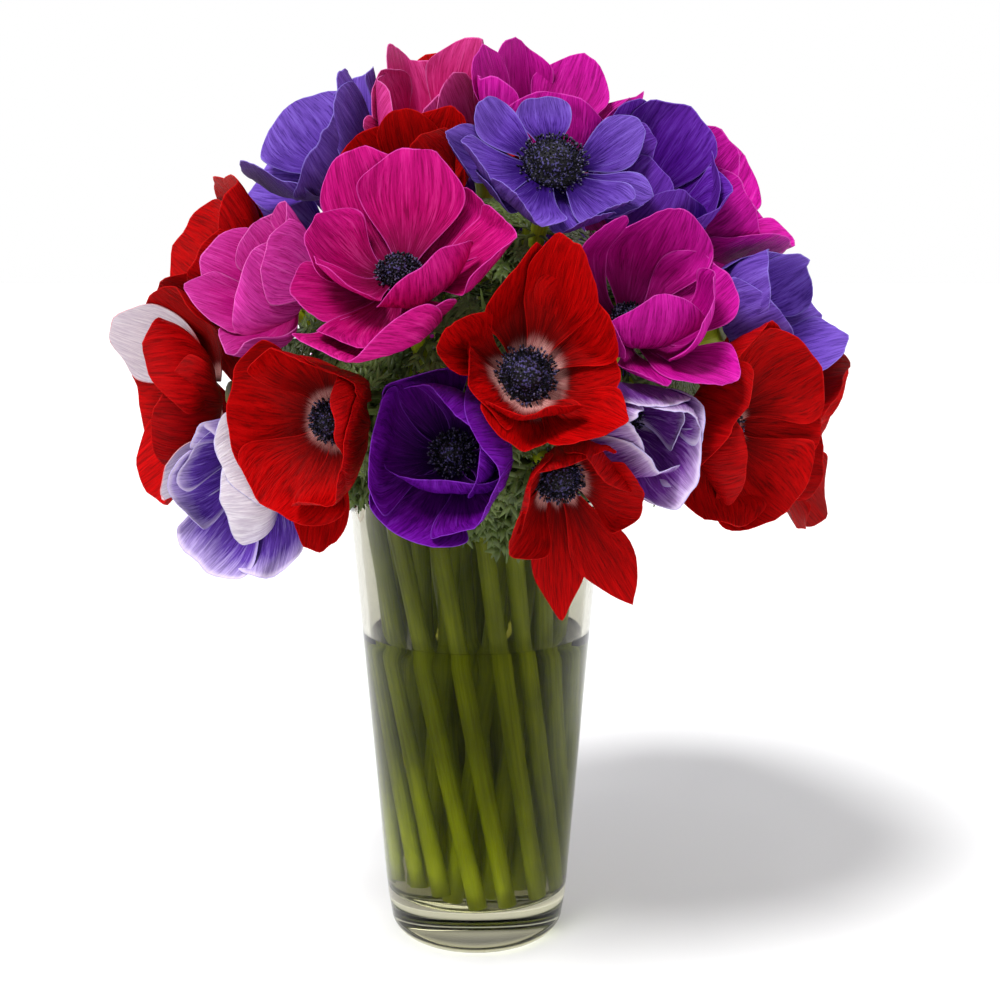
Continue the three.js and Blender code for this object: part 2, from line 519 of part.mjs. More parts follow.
// A thin closed blade from a grid of points, its two faces split into triangles alike.
function bladeSolid(grid, thickness) {
  const rows = grid.length;
  const columns = grid[0].length;
  const positions = [];
  const index = [];
  const offset = rows * columns;
  const at = (i, j) => grid[clamp(i, 0, rows - 1)][clamp(j, 0, columns - 1)];
  const faces = [1, -1];
  for (const face of faces) {
    for (let i = 0; i < rows; i++) {
      for (let j = 0; j < columns; j++) {
        const alongRow = at(i, j + 1).clone().sub(at(i, j - 1));
        const alongColumn = at(i + 1, j).clone().sub(at(i - 1, j));
        const normal = alongRow.cross(alongColumn).normalize();
        const p = at(i, j).clone().addScaledVector(normal, (face * thickness) / 2);
        positions.push(p.x, p.y, p.z);
      }
    }
  }
  for (let i = 0; i < rows - 1; i++) {
    for (let j = 0; j < columns - 1; j++) {
      const a = i * columns + j;
      const b = a + 1;
      const c = a + columns;
      const d = c + 1;
      index.push(a, b, d, a, d, c);
      index.push(offset + a, offset + d, offset + b, offset + a, offset + c, offset + d);
    }
  }
  const rim = [];
  for (let j = 0; j < columns - 1; j++) rim.push(j);
  for (let i = 0; i < rows - 1; i++) rim.push(i * columns + columns - 1);
  for (let j = columns - 1; j > 0; j--) rim.push((rows - 1) * columns + j);
  for (let i = rows - 1; i > 0; i--) rim.push(i * columns);
  rim.forEach((a, k) => {
    const b = rim[(k + 1) % rim.length];
    index.push(a, offset + a, b, b, offset + a, offset + b);
  });
  const geometry = new THREE.BufferGeometry();
  geometry.setAttribute("position", new THREE.Float32BufferAttribute(positions, 3));
  geometry.setIndex(index);
  return solidOf(geometry);
}

// How far a petal's middle line, opened as given, runs into its neighbours.
function deepest(frame, petal, open, walls, margin) {
  const line = centreLine(open - LAYER_ANGLE * petal[8], petal[2], petal[3]);
  const points = LEAN_TESTS.map((t) => petalPoint(frame, petal, line, 0, t));
  return Math.max(
    ...points.map((p) => Math.max(...walls.map(({ normal, height }) => p.dot(normal) - height + margin))),
  );
}

function petalSolid(frame, petal, walls) {
  const layer = petal[8];
  const margin = CELL_MARGIN + LAYER_MARGIN * layer;
  const lifted = { ...frame, root: frame.root.clone().addScaledVector(frame.axis, LAYER_RISE * layer) };
  let open = petal[1];
  while (open > LEAST_OPEN && deepest(lifted, petal, open, walls, margin) > LEAN_DEPTH) {
    open -= LEAN_STEP;
  }
  const line = centreLine(open - LAYER_ANGLE * layer, petal[2], petal[3]);
  const grid = [];
  for (let i = 0; i <= PETAL_ROWS; i++) {
    const row = [];
    for (let j = 0; j <= PETAL_COLUMNS; j++) {
      const s = (2 * j) / PETAL_COLUMNS - 1;
      row.push(confine(petalPoint(lifted, petal, line, s, i / PETAL_ROWS), frame, walls, margin));
    }
    grid.push(row);
  }
  return bladeSolid(grid, PETAL_THICKNESS);
}

// The green receptacle under the petals and the domed dark centre over it.
function coreSolid(frame, size) {
  const radius = DISC_RADIUS * size;
  const profile = [
    [0, -CORE_DEPTH],
    [4.8, -CORE_DEPTH],
    [radius, DISC_RISE],
    [radius - 2.5, DISC_RISE + 4],
    [0, DISC_RISE + 5.5],
  ].map(([r, z]) => new THREE.Vector2(r, z));
  const geometry = new THREE.LatheGeometry(profile, CORE_SIDES);
  const side = new THREE.Vector3().crossVectors(frame.up, frame.axis);
  geometry.applyMatrix4(new THREE.Matrix4().makeBasis(side.negate(), frame.axis, frame.up));
  geometry.translate(frame.root.x, frame.root.y, frame.root.z);
  return solidOf(geometry);
}

function bloomSolid(bloom, frame, walls) {
  const petals = petalList(bloom).map((petal) => petalSolid(frame, petal, walls));
  return join([coreSolid(frame, bloom.disc ?? 0.85), ...petals]);
}

// Where each stem stands on the vase's base and leans on its rim: low blooms outside, high blooms inside.
function stemPlaces(frames) {
  const height = (i) => frames[i].root.clone().sub(BOUQUET_CENTRE).normalize().z;
  const byHeight = frames.map((_, i) => i).sort((a, b) => height(a) - height(b));
  const places = [];
  let taken = 0;
  for (const ring of STEM_RINGS) {
    const side = (i) => Math.atan2(frames[i].root.y, frames[i].root.x);
    const members = byHeight.slice(taken, taken + ring.count).sort((a, b) => side(a) - side(b));
    taken += ring.count;
    const step = (2 * Math.PI) / ring.count;
    const start = members.reduce((sum, i, k) => sum + side(i) - k * step, 0) / ring.count;
    members.forEach((i, k) => {
      const even = start + k * step;
      const lean = clamp((side(i) - even) * STEM_CROWDING, -0.35 * step, 0.35 * step);
      const foot = even + rad(ring.twist) + (draw(i, 9) - 0.5) * FOOT_SPREAD;
      places[i] = {
        foot: new THREE.Vector3(
          ring.footRadius * Math.cos(foot),
          ring.footRadius * Math.sin(foot),
          GLASS_BASE + 3 * FIT_GAP + FOOT_RAISE * Math.max(0, draw(i, 4) - 0.5),
        ),
        rim: new THREE.Vector3(
          ring.rimRadius * Math.cos(even + lean),
          ring.rimRadius * Math.sin(even + lean),
          VASE_HEIGHT,
        ),
      };
    });
  }
  return places;
}

// A straight run through the water, then one curve from the rim to the underside of the bloom.
function stemCurve(place, frame) {
  const end = frame.root.clone().addScaledVector(frame.axis, -CORE_DEPTH - FIT_GAP);
  const rise = place.rim.clone().sub(place.foot).normalize();
  const span = end.distanceTo(place.rim);
  const path = new THREE.CurvePath();
  path.add(new THREE.LineCurve3(place.foot, place.rim));
  path.add(
    new THREE.CubicBezierCurve3(
      place.rim,
      place.rim.clone().addScaledVector(rise, 0.42 * span),
      end.clone().addScaledVector(frame.axis, -0.38 * span),
      end,
    ),
  );
  return path;
}

function tubeSolid(curve, radius) {
  const section = new THREE.Shape();
  for (let k = 0; k < STEM_SIDES; k++) {
    const a = (2 * Math.PI * k) / STEM_SIDES;
    if (k === 0) section.moveTo(radius, 0);
    else section.lineTo(radius * Math.cos(a), radius * Math.sin(a));
  }
  const options = { steps: STEM_STEPS, bevelEnabled: false, extrudePath: curve };
  return solidOf(new THREE.ExtrudeGeometry(section, options));
}

// Narrow fingers of the leaves that ring the stem under its bloom.
function bractFingers(curve, frame, seed) {
  const length = curve.getLength();
  const fingers = [];
  for (let leaf = 0; leaf < BRACT_LEAVES; leaf++) {
    const drop = THREE.MathUtils.lerp(...BRACT_DROP, draw(seed, leaf + 60));
    const u = 1 - drop / length;
    const base = curve.getPointAt(u);
    const stemUp = curve.getTangentAt(u);
    const right = new THREE.Vector3().crossVectors(stemUp, frame.up).normalize();
    const forth = new THREE.Vector3().crossVectors(right, stemUp).normalize();
    for (let finger = 0; finger < BRACT_FINGERS; finger++) {
      const spread = (finger - (BRACT_FINGERS - 1) / 2) * 0.75;
      const around = (2 * Math.PI * (leaf + 0.6 * draw(seed, leaf + 70))) / BRACT_LEAVES + spread;
      const out = right
        .clone()
        .multiplyScalar(Math.cos(around))
        .addScaledVector(forth, Math.sin(around));
      const rise = 0.25 + 0.5 * draw(seed, leaf * 3 + finger + 80);
      const reach = BRACT_LENGTH * (0.8 + 0.4 * draw(seed, leaf * 3 + finger + 90));
      fingers.push({ base, out, rise, reach, stemUp });
    }
  }
  return fingers;
}

function fingerSolid(finger, share) {
  const { base, out, rise, reach, stemUp } = finger;
  const side = new THREE.Vector3().crossVectors(stemUp, out).normalize();
  const along = out.clone().addScaledVector(stemUp, rise).normalize();
  const root = base.clone().addScaledVector(out, 0.5);
  const tip = root.clone().addScaledVector(along, reach * share);
  const half = BRACT_WIDTH / 2;
  const grid = [
    [root.clone().addScaledVector(side, -half), root.clone().addScaledVector(side, half)],
    [tip.clone().addScaledVector(side, -half * 0.3), tip.clone().addScaledVector(side, half * 0.3)],
  ];
  return bladeSolid(grid, PETAL_THICKNESS);
}

// The stem with its leaves: a finger is shortened until it is clear of every bloom and other stem.
function leafyStemSolid(stem, fingers, others) {
  const parts = [stem];
  for (const finger of fingers) {
    for (const share of [1, 0.8, 0.6]) {
      const solid = fingerSolid(finger, share);
      const clear = others.every((other) => solid.minGap(other, 2 * FIT_GAP) > FIT_GAP);
      if (!clear) continue;
      parts.push(solid);
      break;
    }
  }
  return join(parts);
}

function vaseRadius(z) {
  return VASE_RADIUS_AT_FOOT + VASE_FLARE * z;
}

function arcPoints(centreR, centreZ, radius, from, to, steps) {
  const points = [];
  for (let k = 0; k <= steps; k++) {
    const a = rad(from + ((to - from) * k) / steps);
    points.push([centreR + radius * Math.cos(a), centreZ + radius * Math.sin(a)]);
  }
  return points;
}

function latheSolid(profile, sides) {
  const points = profile.map(([r, z]) => new THREE.Vector2(r, z));
  const geometry = new THREE.LatheGeometry(points, sides);
  geometry.rotateX(Math.PI / 2);
  return solidOf(geometry);
}

// The vase in section: thick base with a rounded foot, straight flared wall and rounded rim.
function vaseSolid() {
  const foot = arcPoints(vaseRadius(0) - FOOT_ROUNDING, FOOT_ROUNDING, FOOT_ROUNDING, -90, 0, 3);
  const rim = arcPoints(
    vaseRadius(VASE_HEIGHT) - WALL / 2,
    VASE_HEIGHT - WALL / 2,
    WALL / 2,
    0,
    180,
    3,
  );
  const innerR = vaseRadius(GLASS_BASE) - WALL;
  const corner = arcPoints(
    innerR - INNER_ROUNDING,
    GLASS_BASE + INNER_ROUNDING,
    INNER_ROUNDING,
    0,
    -90,
    2,
  );
  return latheSolid([[0, 0], ...foot, ...rim, ...corner, [0, GLASS_BASE]], VASE_SIDES);
}

// The water, with a plain hole for every stem.
function waterSolid(curves) {
  const innerR = (z) => vaseRadius(z) - WALL - FIT_GAP;
  const corner = arcPoints(
    innerR(GLASS_BASE) - INNER_ROUNDING,
    GLASS_BASE + INNER_ROUNDING + FIT_GAP,
    INNER_ROUNDING,
    -90,
    0,
    2,
  );
  const profile = [
    [0, GLASS_BASE + FIT_GAP],
    ...corner,
    [innerR(WATER_LEVEL), WATER_LEVEL],
    [0, WATER_LEVEL],
  ];
  const body = latheSolid(profile, VASE_SIDES);
  return curves.reduce((water, curve) => {
    return water.subtract(tubeSolid(curve, STEM_RADIUS + 1.4 * FIT_GAP));
  }, body);
}

function meshOf(name, solid, origin, colour, look = {}) {
  const geometry = geometryOf(solid);
  geometry.translate(-origin.x, -origin.y, -origin.z);
  geometry.computeVertexNormals();
  const material = new THREE.MeshStandardMaterial({
    color: colour,
    roughness: 0.5,
    metalness: 0,
    ...look,
  });
  const mesh = new THREE.Mesh(geometry, material);
  mesh.name = name;
  mesh.position.copy(origin);
  return mesh;
}

function bouquet() {
  const group = new THREE.Group();
  const frames = BLOOMS.map(bloomFrame);
  const blooms = BLOOMS.map((bloom, i) => bloomSolid(bloom, frames[i], cellWalls(i, frames)));
  const places = stemPlaces(frames);
  const curves = frames.map((frame, i) => stemCurve(places[i], frame));
  const tubes = curves.map((curve) => tubeSolid(curve, STEM_RADIUS));
  BLOOMS.forEach((bloom, i) => {
    group.add(meshOf(`bloom_${bloom.name}`, blooms[i], frames[i].root, COLOURS[bloom.colour]));
    const others = blooms.concat(tubes.filter((_, j) => j !== i));
    const fingers = bractFingers(curves[i], frames[i], i);
    tubes[i] = leafyStemSolid(tubes[i], fingers, others);
    const matte = { roughness: 0.7 };
    group.add(meshOf(`stem_${bloom.name}`, tubes[i], places[i].foot, COLOURS.stem, matte));
  });
  const glass = { transparent: true, opacity: 0.3, roughness: 0.03 };
  const foot = new THREE.Vector3(0, 0, 0);
  group.add(meshOf("vase", vaseSolid(), foot, COLOURS.glass, glass));
  group.add(meshOf("water", waterSolid(curves), foot, COLOURS.water, glass));
  return group;
}

export default bouquet();
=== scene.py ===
"""A bouquet of anemones in a tapered clear glass vase: the visual model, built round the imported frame."""

import math
from collections import namedtuple

import bpy
import numpy as np
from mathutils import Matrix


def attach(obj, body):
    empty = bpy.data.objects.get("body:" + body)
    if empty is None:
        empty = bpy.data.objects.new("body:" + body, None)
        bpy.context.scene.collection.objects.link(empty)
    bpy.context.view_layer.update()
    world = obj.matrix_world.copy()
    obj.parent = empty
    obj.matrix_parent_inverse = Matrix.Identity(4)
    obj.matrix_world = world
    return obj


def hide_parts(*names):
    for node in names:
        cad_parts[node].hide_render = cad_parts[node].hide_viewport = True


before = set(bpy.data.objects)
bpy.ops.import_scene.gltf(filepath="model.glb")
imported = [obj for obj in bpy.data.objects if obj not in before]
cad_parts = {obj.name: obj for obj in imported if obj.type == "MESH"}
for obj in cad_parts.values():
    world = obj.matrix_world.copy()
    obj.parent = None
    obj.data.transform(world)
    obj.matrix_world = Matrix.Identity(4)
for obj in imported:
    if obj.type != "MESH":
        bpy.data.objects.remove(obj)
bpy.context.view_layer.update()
BODY = "root"
MM = 0.001

# vase and water, in mm, as in the solid model
VASE_HEIGHT = 182
VASE_RADIUS_AT_FOOT = 35
VASE_FLARE = 0.083
WALL = 3
GLASS_BASE = 19
FOOT_ROUNDING = 9
INNER_ROUNDING = 4
WATER_LEVEL = 125
FIT_GAP = 0.3

# stems, as in the solid model: rings of (count, radius at the foot, radius at the rim, twist in degrees)
STEM_RADIUS = 3.5
STEM_RINGS = [(14, 27.5, 42.2, 58), (9, 17.4, 29, -50), (5, 9.2, 15, 80), (1, 0, 0, 0)]
STEM_CROWDING = 0.55
FOOT_SPREAD = 0.12
FOOT_RAISE = 14

# petals and the space that each bloom keeps to, as in the solid model
BOUQUET_CENTRE = np.array([3.0, 0.0, 208.0])
FRONT = np.array([0.0, -1.0, 0.0])
STEM_ZONE = 88
DISC_RISE = 6
CORE_DEPTH = 4
PETAL_ROOT_RADIUS = 4.5
BOWL = 1.7
PETAL_FLARE = 95
SITE_RISE = 20
WAIST_RISE = 10
WALL_REACH = 130
CELL_MARGIN = 0.45
LAYER_MARGIN = 0.8
LAYER_RISE = 2.2
LAYER_ANGLE = 9
SOFT_EDGE = 5
LIFT_SHARE = 0.6
LEAST_OPEN = -20
LEAN_STEP = 3
LEAN_DEPTH = 3
RULED_COUNT = 5
RULED = dict(open=80, curl=-4, cup=0.35, wave=0.13, outer=1.3, inner=1.15)
RULED_SPREAD = dict(clock=20, open=12, length=0.14, width=0.12, curl=16, twist=14)
SEED_TURN = 40

# what the visual model adds: petal grids as (rows, columns), dark centres as (stamens, grains of the dome)
PETAL_THICKNESS = 0.5
FINE_BLOOMS = 8
FINE_GRID, PLAIN_GRID = (34, 25), (24, 19)
FINE_CENTRE, PLAIN_CENTRE = (230, 90), (76, 30)
CENTRE_SEED, STEM_SEED = 900, 300

# leaves: whorls of (count, drop below the bloom, spread, length), hanging fronds of (drop, way, length)
WHORLS = [(4, 12, 9, 28), (3, 28, 34, 38)]
HANGING = {
    "red_low": [(44, (-0.12, -0.3, -0.94), 36), (36, (-0.5, -0.22, -0.84), 34)],
    "purple_front": [(44, (0.5, -0.26, -0.82), 32)],
    "red_left": [(44, (-0.3, -0.3, -0.9), 32)],
}
LEAF_DROOP = 0.12

# light and camera, in metres and degrees
HORIZON, ZENITH = (1.0, 1.0, 1.0, 1), (0.32, 0.32, 0.33, 1)
CAMERA_AT = (0.0095, -0.662, 0.291)
CAMERA_DOWN = 9.73
CAMERA_LENS = 61.2
FLOOR_HALF = 6.0


# small tools
def draw(seed, index):
    """A repeatable number from 0 to 1 for a seed and an index."""
    x = math.sin(seed * 12.9898 + index * 78.233) * 43758.5453
    return x - math.floor(x)


def unit(v):
    v = np.asarray(v, float)
    return v / np.maximum(np.linalg.norm(v, axis=-1, keepdims=True), 1e-12)


def smoothstep(x, low, high):
    x = np.clip((x - low) / (high - low), 0, 1)
    return x * x * (3 - 2 * x)


def ring_angles(count):
    """Even angles round a full turn."""
    return 2 * math.pi * np.arange(count) / count


def linear(red, green, blue):
    """A colour given as it looks on a screen, 0 to 255, as the light values a shader takes."""
    def one(c):
        c /= 255
        return c / 12.92 if c <= 0.04045 else ((c + 0.055) / 1.055) ** 2.4
    return (one(red), one(green), one(blue), 1.0)


class Pile:
    """Points, faces and per-point attributes of one piece, gathered part by part."""

    def __init__(self):
        self.points, self.faces, self.data, self.count = [], [], {}, 0

    def add(self, points, faces, **data):
        """Adds a part. Each attribute is three values, and a value is one number or one for each point."""
        points = np.asarray(points, float).reshape(-1, 3)
        self.points.append(points)
        self.faces += [[i + self.count for i in face] for face in faces]
        for key, values in data.items():
            columns = [np.broadcast_to(value, len(points)) for value in values]
            self.data.setdefault(key, []).append(np.stack(columns, 1))
        self.count += len(points)

    def piece(self, name, material, slot, *nodes):
        mesh = bpy.data.meshes.new(name)
        mesh.from_pydata((np.vstack(self.points) * MM).tolist(), [], self.faces)
        for key, parts in self.data.items():
            layer = mesh.attributes.new(key, "FLOAT_VECTOR", "POINT")
            layer.data.foreach_set("vector", np.vstack(parts).astype(np.float32).ravel())
        mesh.polygons.foreach_set("use_smooth", [True] * len(mesh.polygons))
        mesh.materials.append(material)
        mesh.update()
        piece = bpy.data.objects.new(name, mesh)
        bpy.context.scene.collection.objects.link(piece)
        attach(piece, BODY)
        if nodes:
            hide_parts(*nodes)


def grid_faces(rows, columns, start=0, wrap=False):
    """Quads over a grid of points; wrap joins the last column to the first."""
    faces = []
    for i in range(rows - 1):
        for j in range(columns if wrap else columns - 1):
            k = (j + 1) % columns
            a, b = start + i * columns + j, start + i * columns + k
            faces.append([a, b, b + columns, a + columns])
    return faces


def normals(grid):
    return unit(np.cross(np.gradient(grid, axis=1), np.gradient(grid, axis=0)))


def shell(grid, thickness):
    """The two faces of a thin sheet and the rim between them, from the grid of points in its middle."""
    rows, columns = grid.shape[:2]
    offset = normals(grid) * (np.asarray(thickness) / 2)[..., None]
    count = rows * columns
    points = np.concatenate([(grid + offset).reshape(-1, 3), (grid - offset).reshape(-1, 3)])
    faces = grid_faces(rows, columns)
    faces += [[count + i for i in reversed(face)] for face in faces]
    rim = list(range(columns - 1))
    rim += [i * columns + columns - 1 for i in range(rows - 1)]
    rim += [(rows - 1) * columns + j for j in range(columns - 1, 0, -1)]
    rim += [i * columns for i in range(rows - 1, 0, -1)]
    for k, a in enumerate(rim):
        b = rim[(k + 1) % len(rim)]
        faces.append([a, count + a, count + b, b])
    return points, faces


def twice(values):
    """The values at a grid's points, for the one side of its sheet and then the other."""
    return np.concatenate([values.ravel()] * 2)


# materials
class Nodes:
    """A material's node tree, with short ways to add and join nodes."""

    def __init__(self, name):
        self.material = bpy.data.materials.new(name)
        self.material.use_nodes = True
        self.tree = self.material.node_tree
        self.tree.nodes.clear()
        self.out = self.add("ShaderNodeOutputMaterial")

    def add(self, kind, inputs=None, **settings):
        node = self.tree.nodes.new(kind)
        for key, value in settings.items():
            setattr(node, key, value)
        for key, value in (inputs or {}).items():
            self.set(node.inputs[key], value)
        return node

    def set(self, socket, value):
        if isinstance(value, bpy.types.NodeSocket):
            self.tree.links.new(value, socket)
        else:
            socket.default_value = value

    def math(self, operation, a, b, clamp=False):
        return self.add("ShaderNodeMath", {0: a, 1: b}, operation=operation, use_clamp=clamp).outputs[0]

    def plus(self, a, b):
        return self.math("ADD", a, b)

    def times(self, a, b):
        return self.math("MULTIPLY", a, b)

    def step(self, value, low, high, to_low=0.0, to_high=1.0):
        """A smooth step from to_low to to_high while the value goes from low to high."""
        ends = {"From Min": low, "From Max": high, "To Min": to_low, "To Max": to_high}
        node = self.add("ShaderNodeMapRange", {"Value": value, **ends}, interpolation_type="SMOOTHSTEP")
        return node.outputs["Result"]

    def mix(self, share, a, b):
        return self.add("ShaderNodeMix", {0: share, 6: a, 7: b}, data_type="RGBA").outputs[2]

    def ramp(self, value, first, middle, last):
        """Colours along a value, from three pairs of a place and a colour."""
        node = self.add("ShaderNodeValToRGB", {"Fac": value})
        elements = node.color_ramp.elements
        elements[0].position, elements[0].color = first
        elements[1].position, elements[1].color = last
        elements.new(middle[0]).color = middle[1]
        return node.outputs["Color"]

    def attribute(self, name):
        node = self.add("ShaderNodeAttribute", attribute_name=name)
        split = self.add("ShaderNodeSeparateXYZ", {0: node.outputs["Vector"]})
        return split.outputs[0], split.outputs[1], split.outputs[2]

    def noise(self, x, y, z, scale=1.0, detail=3.0, roughness=0.6):
        where = self.add("ShaderNodeCombineXYZ", {0: x, 1: y, 2: z})
        inputs = {"Vector": where.outputs[0], "Scale": scale, "Detail": detail, "Roughness": roughness}
        return self.add("ShaderNodeTexNoise", inputs).outputs["Fac"]

    def place(self):
        return self.add("ShaderNodeTexCoord").outputs["Object"]

    def place_noise(self, scale, detail):
        inputs = {"Vector": self.place(), "Scale": scale, "Detail": detail}
        return self.add("ShaderNodeTexNoise", inputs).outputs["Fac"]

    def bump(self, height, strength, distance):
        inputs = {"Strength": strength, "Distance": distance, "Height": height}
        return self.add("ShaderNodeBump", inputs).outputs["Normal"]

    def principled(self, specular=0.5, **inputs):
        """A principled shader; a name's underscores stand for spaces."""
        node = self.add("ShaderNodeBsdfPrincipled", {key.replace("_", " "): v for key, v in inputs.items()})
        node.inputs["Specular IOR Level"].default_value = specular
        return node.outputs[0]

    def finish(self, shader):
        self.set(self.out.inputs["Surface"], shader)
        return self.material


def petal_material(name, root, body, tip, rim, back, ring=None):
    """A petal's colours from root to tip and on its back, with lines and creases that fan out; the creases
    and the foot near the centre are darkened with painted shade.
    """
    streak_share, back_share, rim_line_share = 0.7, 0.75, 0.4
    n = Nodes(name)
    s, t, face = n.attribute("petal")
    chance, white, edge = n.attribute("tone")
    path, pale_share, tinge = n.attribute("reach")
    shift = n.times(chance, 40.0)
    broad = n.noise(n.plus(n.times(s, 9.0), shift), n.times(t, 1.3), shift)
    fine = n.noise(n.times(s, 30.0), n.times(t, 5.0), shift, roughness=0.65)
    lines = n.plus(n.times(broad, 0.5), n.times(fine, 0.5))
    on_back = n.step(face, 0.3, 0.7)
    colour = n.mix(n.times(on_back, back_share), n.ramp(t, (0.12, root), (0.54, body), (0.95, tip)), back)

    # dark and light streaks, painted shade in the creases, and painted shade darkening the foot near the
    # centre
    dark = n.mix(0.6, colour, root)
    colour = n.mix(n.times(n.step(lines, 0.62, 0.38), streak_share), colour, dark)
    light = n.mix(0.35, colour, rim)
    colour = n.mix(n.times(n.step(lines, 0.5, 0.72), streak_share), colour, light)
    # painted shade: the fine creases are darkened towards the root colour, more so nearer the root
    crease_shade = n.times(n.step(fine, 0.47, 0.37), n.step(t, 1.0, 0.3, 0.5, 0.85))
    colour = n.mix(crease_shade, colour, n.mix(0.7, colour, root))
    # painted shade: each petal darkens towards its root colour near the bloom's centre, with a ragged edge
    foot_shade_distance = n.plus(path, n.times(n.plus(fine, -0.5), 26.0))
    colour = n.mix(n.step(foot_shade_distance, 19.0, 12.0, 0.0, 0.8), colour, root)

    # each petal's own tone, and the tinge of the bloom
    own_value = n.step(chance, 0.0, 1.0, 0.9, 1.1)
    inputs = {"Color": colour, "Value": own_value, "Hue": n.plus(tinge, 0.5)}
    colour = n.add("ShaderNodeHueSaturation", inputs).outputs["Color"]

    # pale towards the tip and the edge, white petals, and a light line round the edge
    toward_tip = n.plus(n.step(t, 0.62, 1.0, 0.0, 0.9), n.step(edge, 3.0, 0.3, 0.0, 0.9))
    patchy = n.plus(toward_tip, n.step(lines, 0.4, 0.7, -0.3, 0.3))
    colour = n.mix(n.math("MULTIPLY", pale_share, patchy, clamp=True), colour, linear(222, 206, 236))
    white_petal = n.mix(n.step(fine, 0.3, 0.7), linear(206, 194, 210), linear(240, 234, 240))
    colour = n.mix(white, colour, white_petal)
    colour = n.mix(n.times(n.step(edge, 0.6, 0.1), rim_line_share), colour, rim)

    # a ring of pale hairs round the centre
    if ring:
        hairs = n.noise(n.times(s, 90.0), n.times(t, 3.0), shift, detail=1.0, roughness=0.5)
        reach = n.plus(path, n.times(n.plus(hairs, -0.5), 11.0))
        mask = n.times(n.step(reach, 16.0, 12.5), n.math("SUBTRACT", 1.0, on_back))
        colour = n.mix(mask, colour, n.mix(n.step(hairs, 0.35, 0.6), linear(150, 70, 72), ring))

    folds = n.plus(n.times(broad, 0.5), n.times(fine, 0.8))
    return n.finish(n.principled(
        Base_Color=colour, Roughness=n.step(lines, 0.3, 0.7, 0.5, 0.62), Normal=n.bump(folds, 0.55, 0.0014),
        IOR=1.4, specular=0.07,
    ))


def centre_material():
    """Nearly black, with violet specks and paler tips of the stamens."""
    n = Nodes("anemone_centre")
    kind, height, chance = n.attribute("grain")
    specks = n.place_noise(900.0, 1.0)
    base = n.mix(n.step(specks, 0.56, 0.66), linear(5, 4, 9), linear(82, 74, 132))
    tip = n.mix(n.step(chance, 0.35, 1.0), linear(16, 13, 26), linear(108, 100, 134))
    colour = n.mix(n.times(kind, n.step(height, 0.45, 1.0)), base, tip)
    relief = n.bump(specks, 0.8, 0.0008)
    return n.finish(n.principled(Base_Color=colour, Roughness=0.6, Normal=relief, specular=0.25))


def stem_material():
    """Yellow-green stems with lines along them, paler at the foot, and duller leaves."""
    n = Nodes("stem_and_leaf")
    around, along, chance = n.attribute("stem")
    leaf, _, lobe_chance = n.attribute("leaf")
    lines = n.noise(n.times(around, 10.0), n.times(along, 0.03), chance)
    patches = n.place_noise(28.0, 3.0)
    green = n.mix(n.step(patches, 0.3, 0.7), linear(148, 162, 12), linear(194, 210, 34))
    green = n.mix(n.times(n.step(lines, 0.65, 0.35), 0.5), green, linear(102, 118, 6))
    green = n.mix(n.step(along, 60.0, 0.0, 0.0, 0.35), green, linear(206, 218, 50))
    veins = n.place_noise(420.0, 3.0)
    frond_green = n.mix(n.step(veins, 0.3, 0.7), linear(44, 62, 20), linear(88, 108, 44))
    frond_green = n.mix(n.times(lobe_chance, 0.45), frond_green, linear(120, 138, 74))
    colour = n.mix(leaf, green, frond_green)
    relief = n.bump(n.plus(n.times(lines, 0.6), n.times(veins, 0.5)), 0.25, 0.0008)
    return n.finish(n.principled(Base_Color=colour, Roughness=0.46, Normal=relief, specular=0.4))


def clear_material(name, low, high, levels, ior, gloss, wobble_scale, wobble, pass_light):
    """A clear solid that lets light through to what it holds, tinted from low to high between two levels."""
    n = Nodes(name)
    relief = n.place_noise(wobble_scale, 1.0)
    x, y, z = n.add("ShaderNodeSeparateXYZ", {0: n.place()}).outputs
    level = n.plus(z, n.times(relief, 0.008))
    tint = n.mix(n.step(level, levels[0] * MM, levels[1] * MM), low, high)
    streaks = n.noise(x, y, n.times(z, 0.06), scale=90.0, detail=2.0)
    streak_tint = (0.2, 0.2, 0.16, 1)
    tint = n.mix(n.step(streaks, 0.45, 0.7, 0.0, 0.1), tint, streak_tint)
    clear = n.principled(
        Base_Color=tint, Roughness=0.0, IOR=ior, Transmission_Weight=1.0,
        Normal=n.bump(relief, wobble, 0.004), Specular_Tint=(gloss, gloss, gloss, 1),
    )
    see = n.add("ShaderNodeBsdfTransparent", {"Color": pass_light}).outputs[0]
    shadow = n.add("ShaderNodeLightPath").outputs["Is Shadow Ray"]
    return n.finish(n.add("ShaderNodeMixShader", {0: shadow, 1: clear, 2: see}).outputs[0])


# root, body, tip, rim and back of the petals, and the ring of hairs on the red ones
PETAL_COLOURS = {
    "red": [(74, 0, 0), (170, 0, 1), (184, 0, 2), (216, 20, 18), (168, 2, 6), (226, 170, 162)],
    "magenta": [(100, 0, 64), (180, 4, 130), (216, 20, 168), (232, 96, 204), (208, 24, 162)],
    "pink": [(150, 8, 90), (206, 24, 144), (222, 62, 172), (240, 136, 212), (216, 60, 172)],
    "violet": [(44, 14, 100), (100, 60, 172), (126, 88, 200), (160, 146, 232), (108, 70, 176)],
    "plum": [(44, 0, 90), (82, 20, 144), (104, 42, 170), (142, 108, 212), (98, 48, 160)],
    "purple": [(36, 0, 60), (90, 0, 122), (116, 14, 162), (146, 72, 208), (106, 16, 156)],
}
PETALS = {
    colour: petal_material(f"petal_{colour}", *(linear(*shade) for shade in shades))
    for colour, shades in PETAL_COLOURS.items()
}
CENTRE = centre_material()
GREEN = stem_material()
GLASS = clear_material(
    "clear_glass", low=(0.58, 0.55, 0.34, 1), high=(0.59, 0.58, 0.5, 1), levels=(8, 22), ior=1.47,
    gloss=0.09, wobble_scale=14.0, wobble=0.05, pass_light=(0.95, 0.96, 0.94, 1),
)
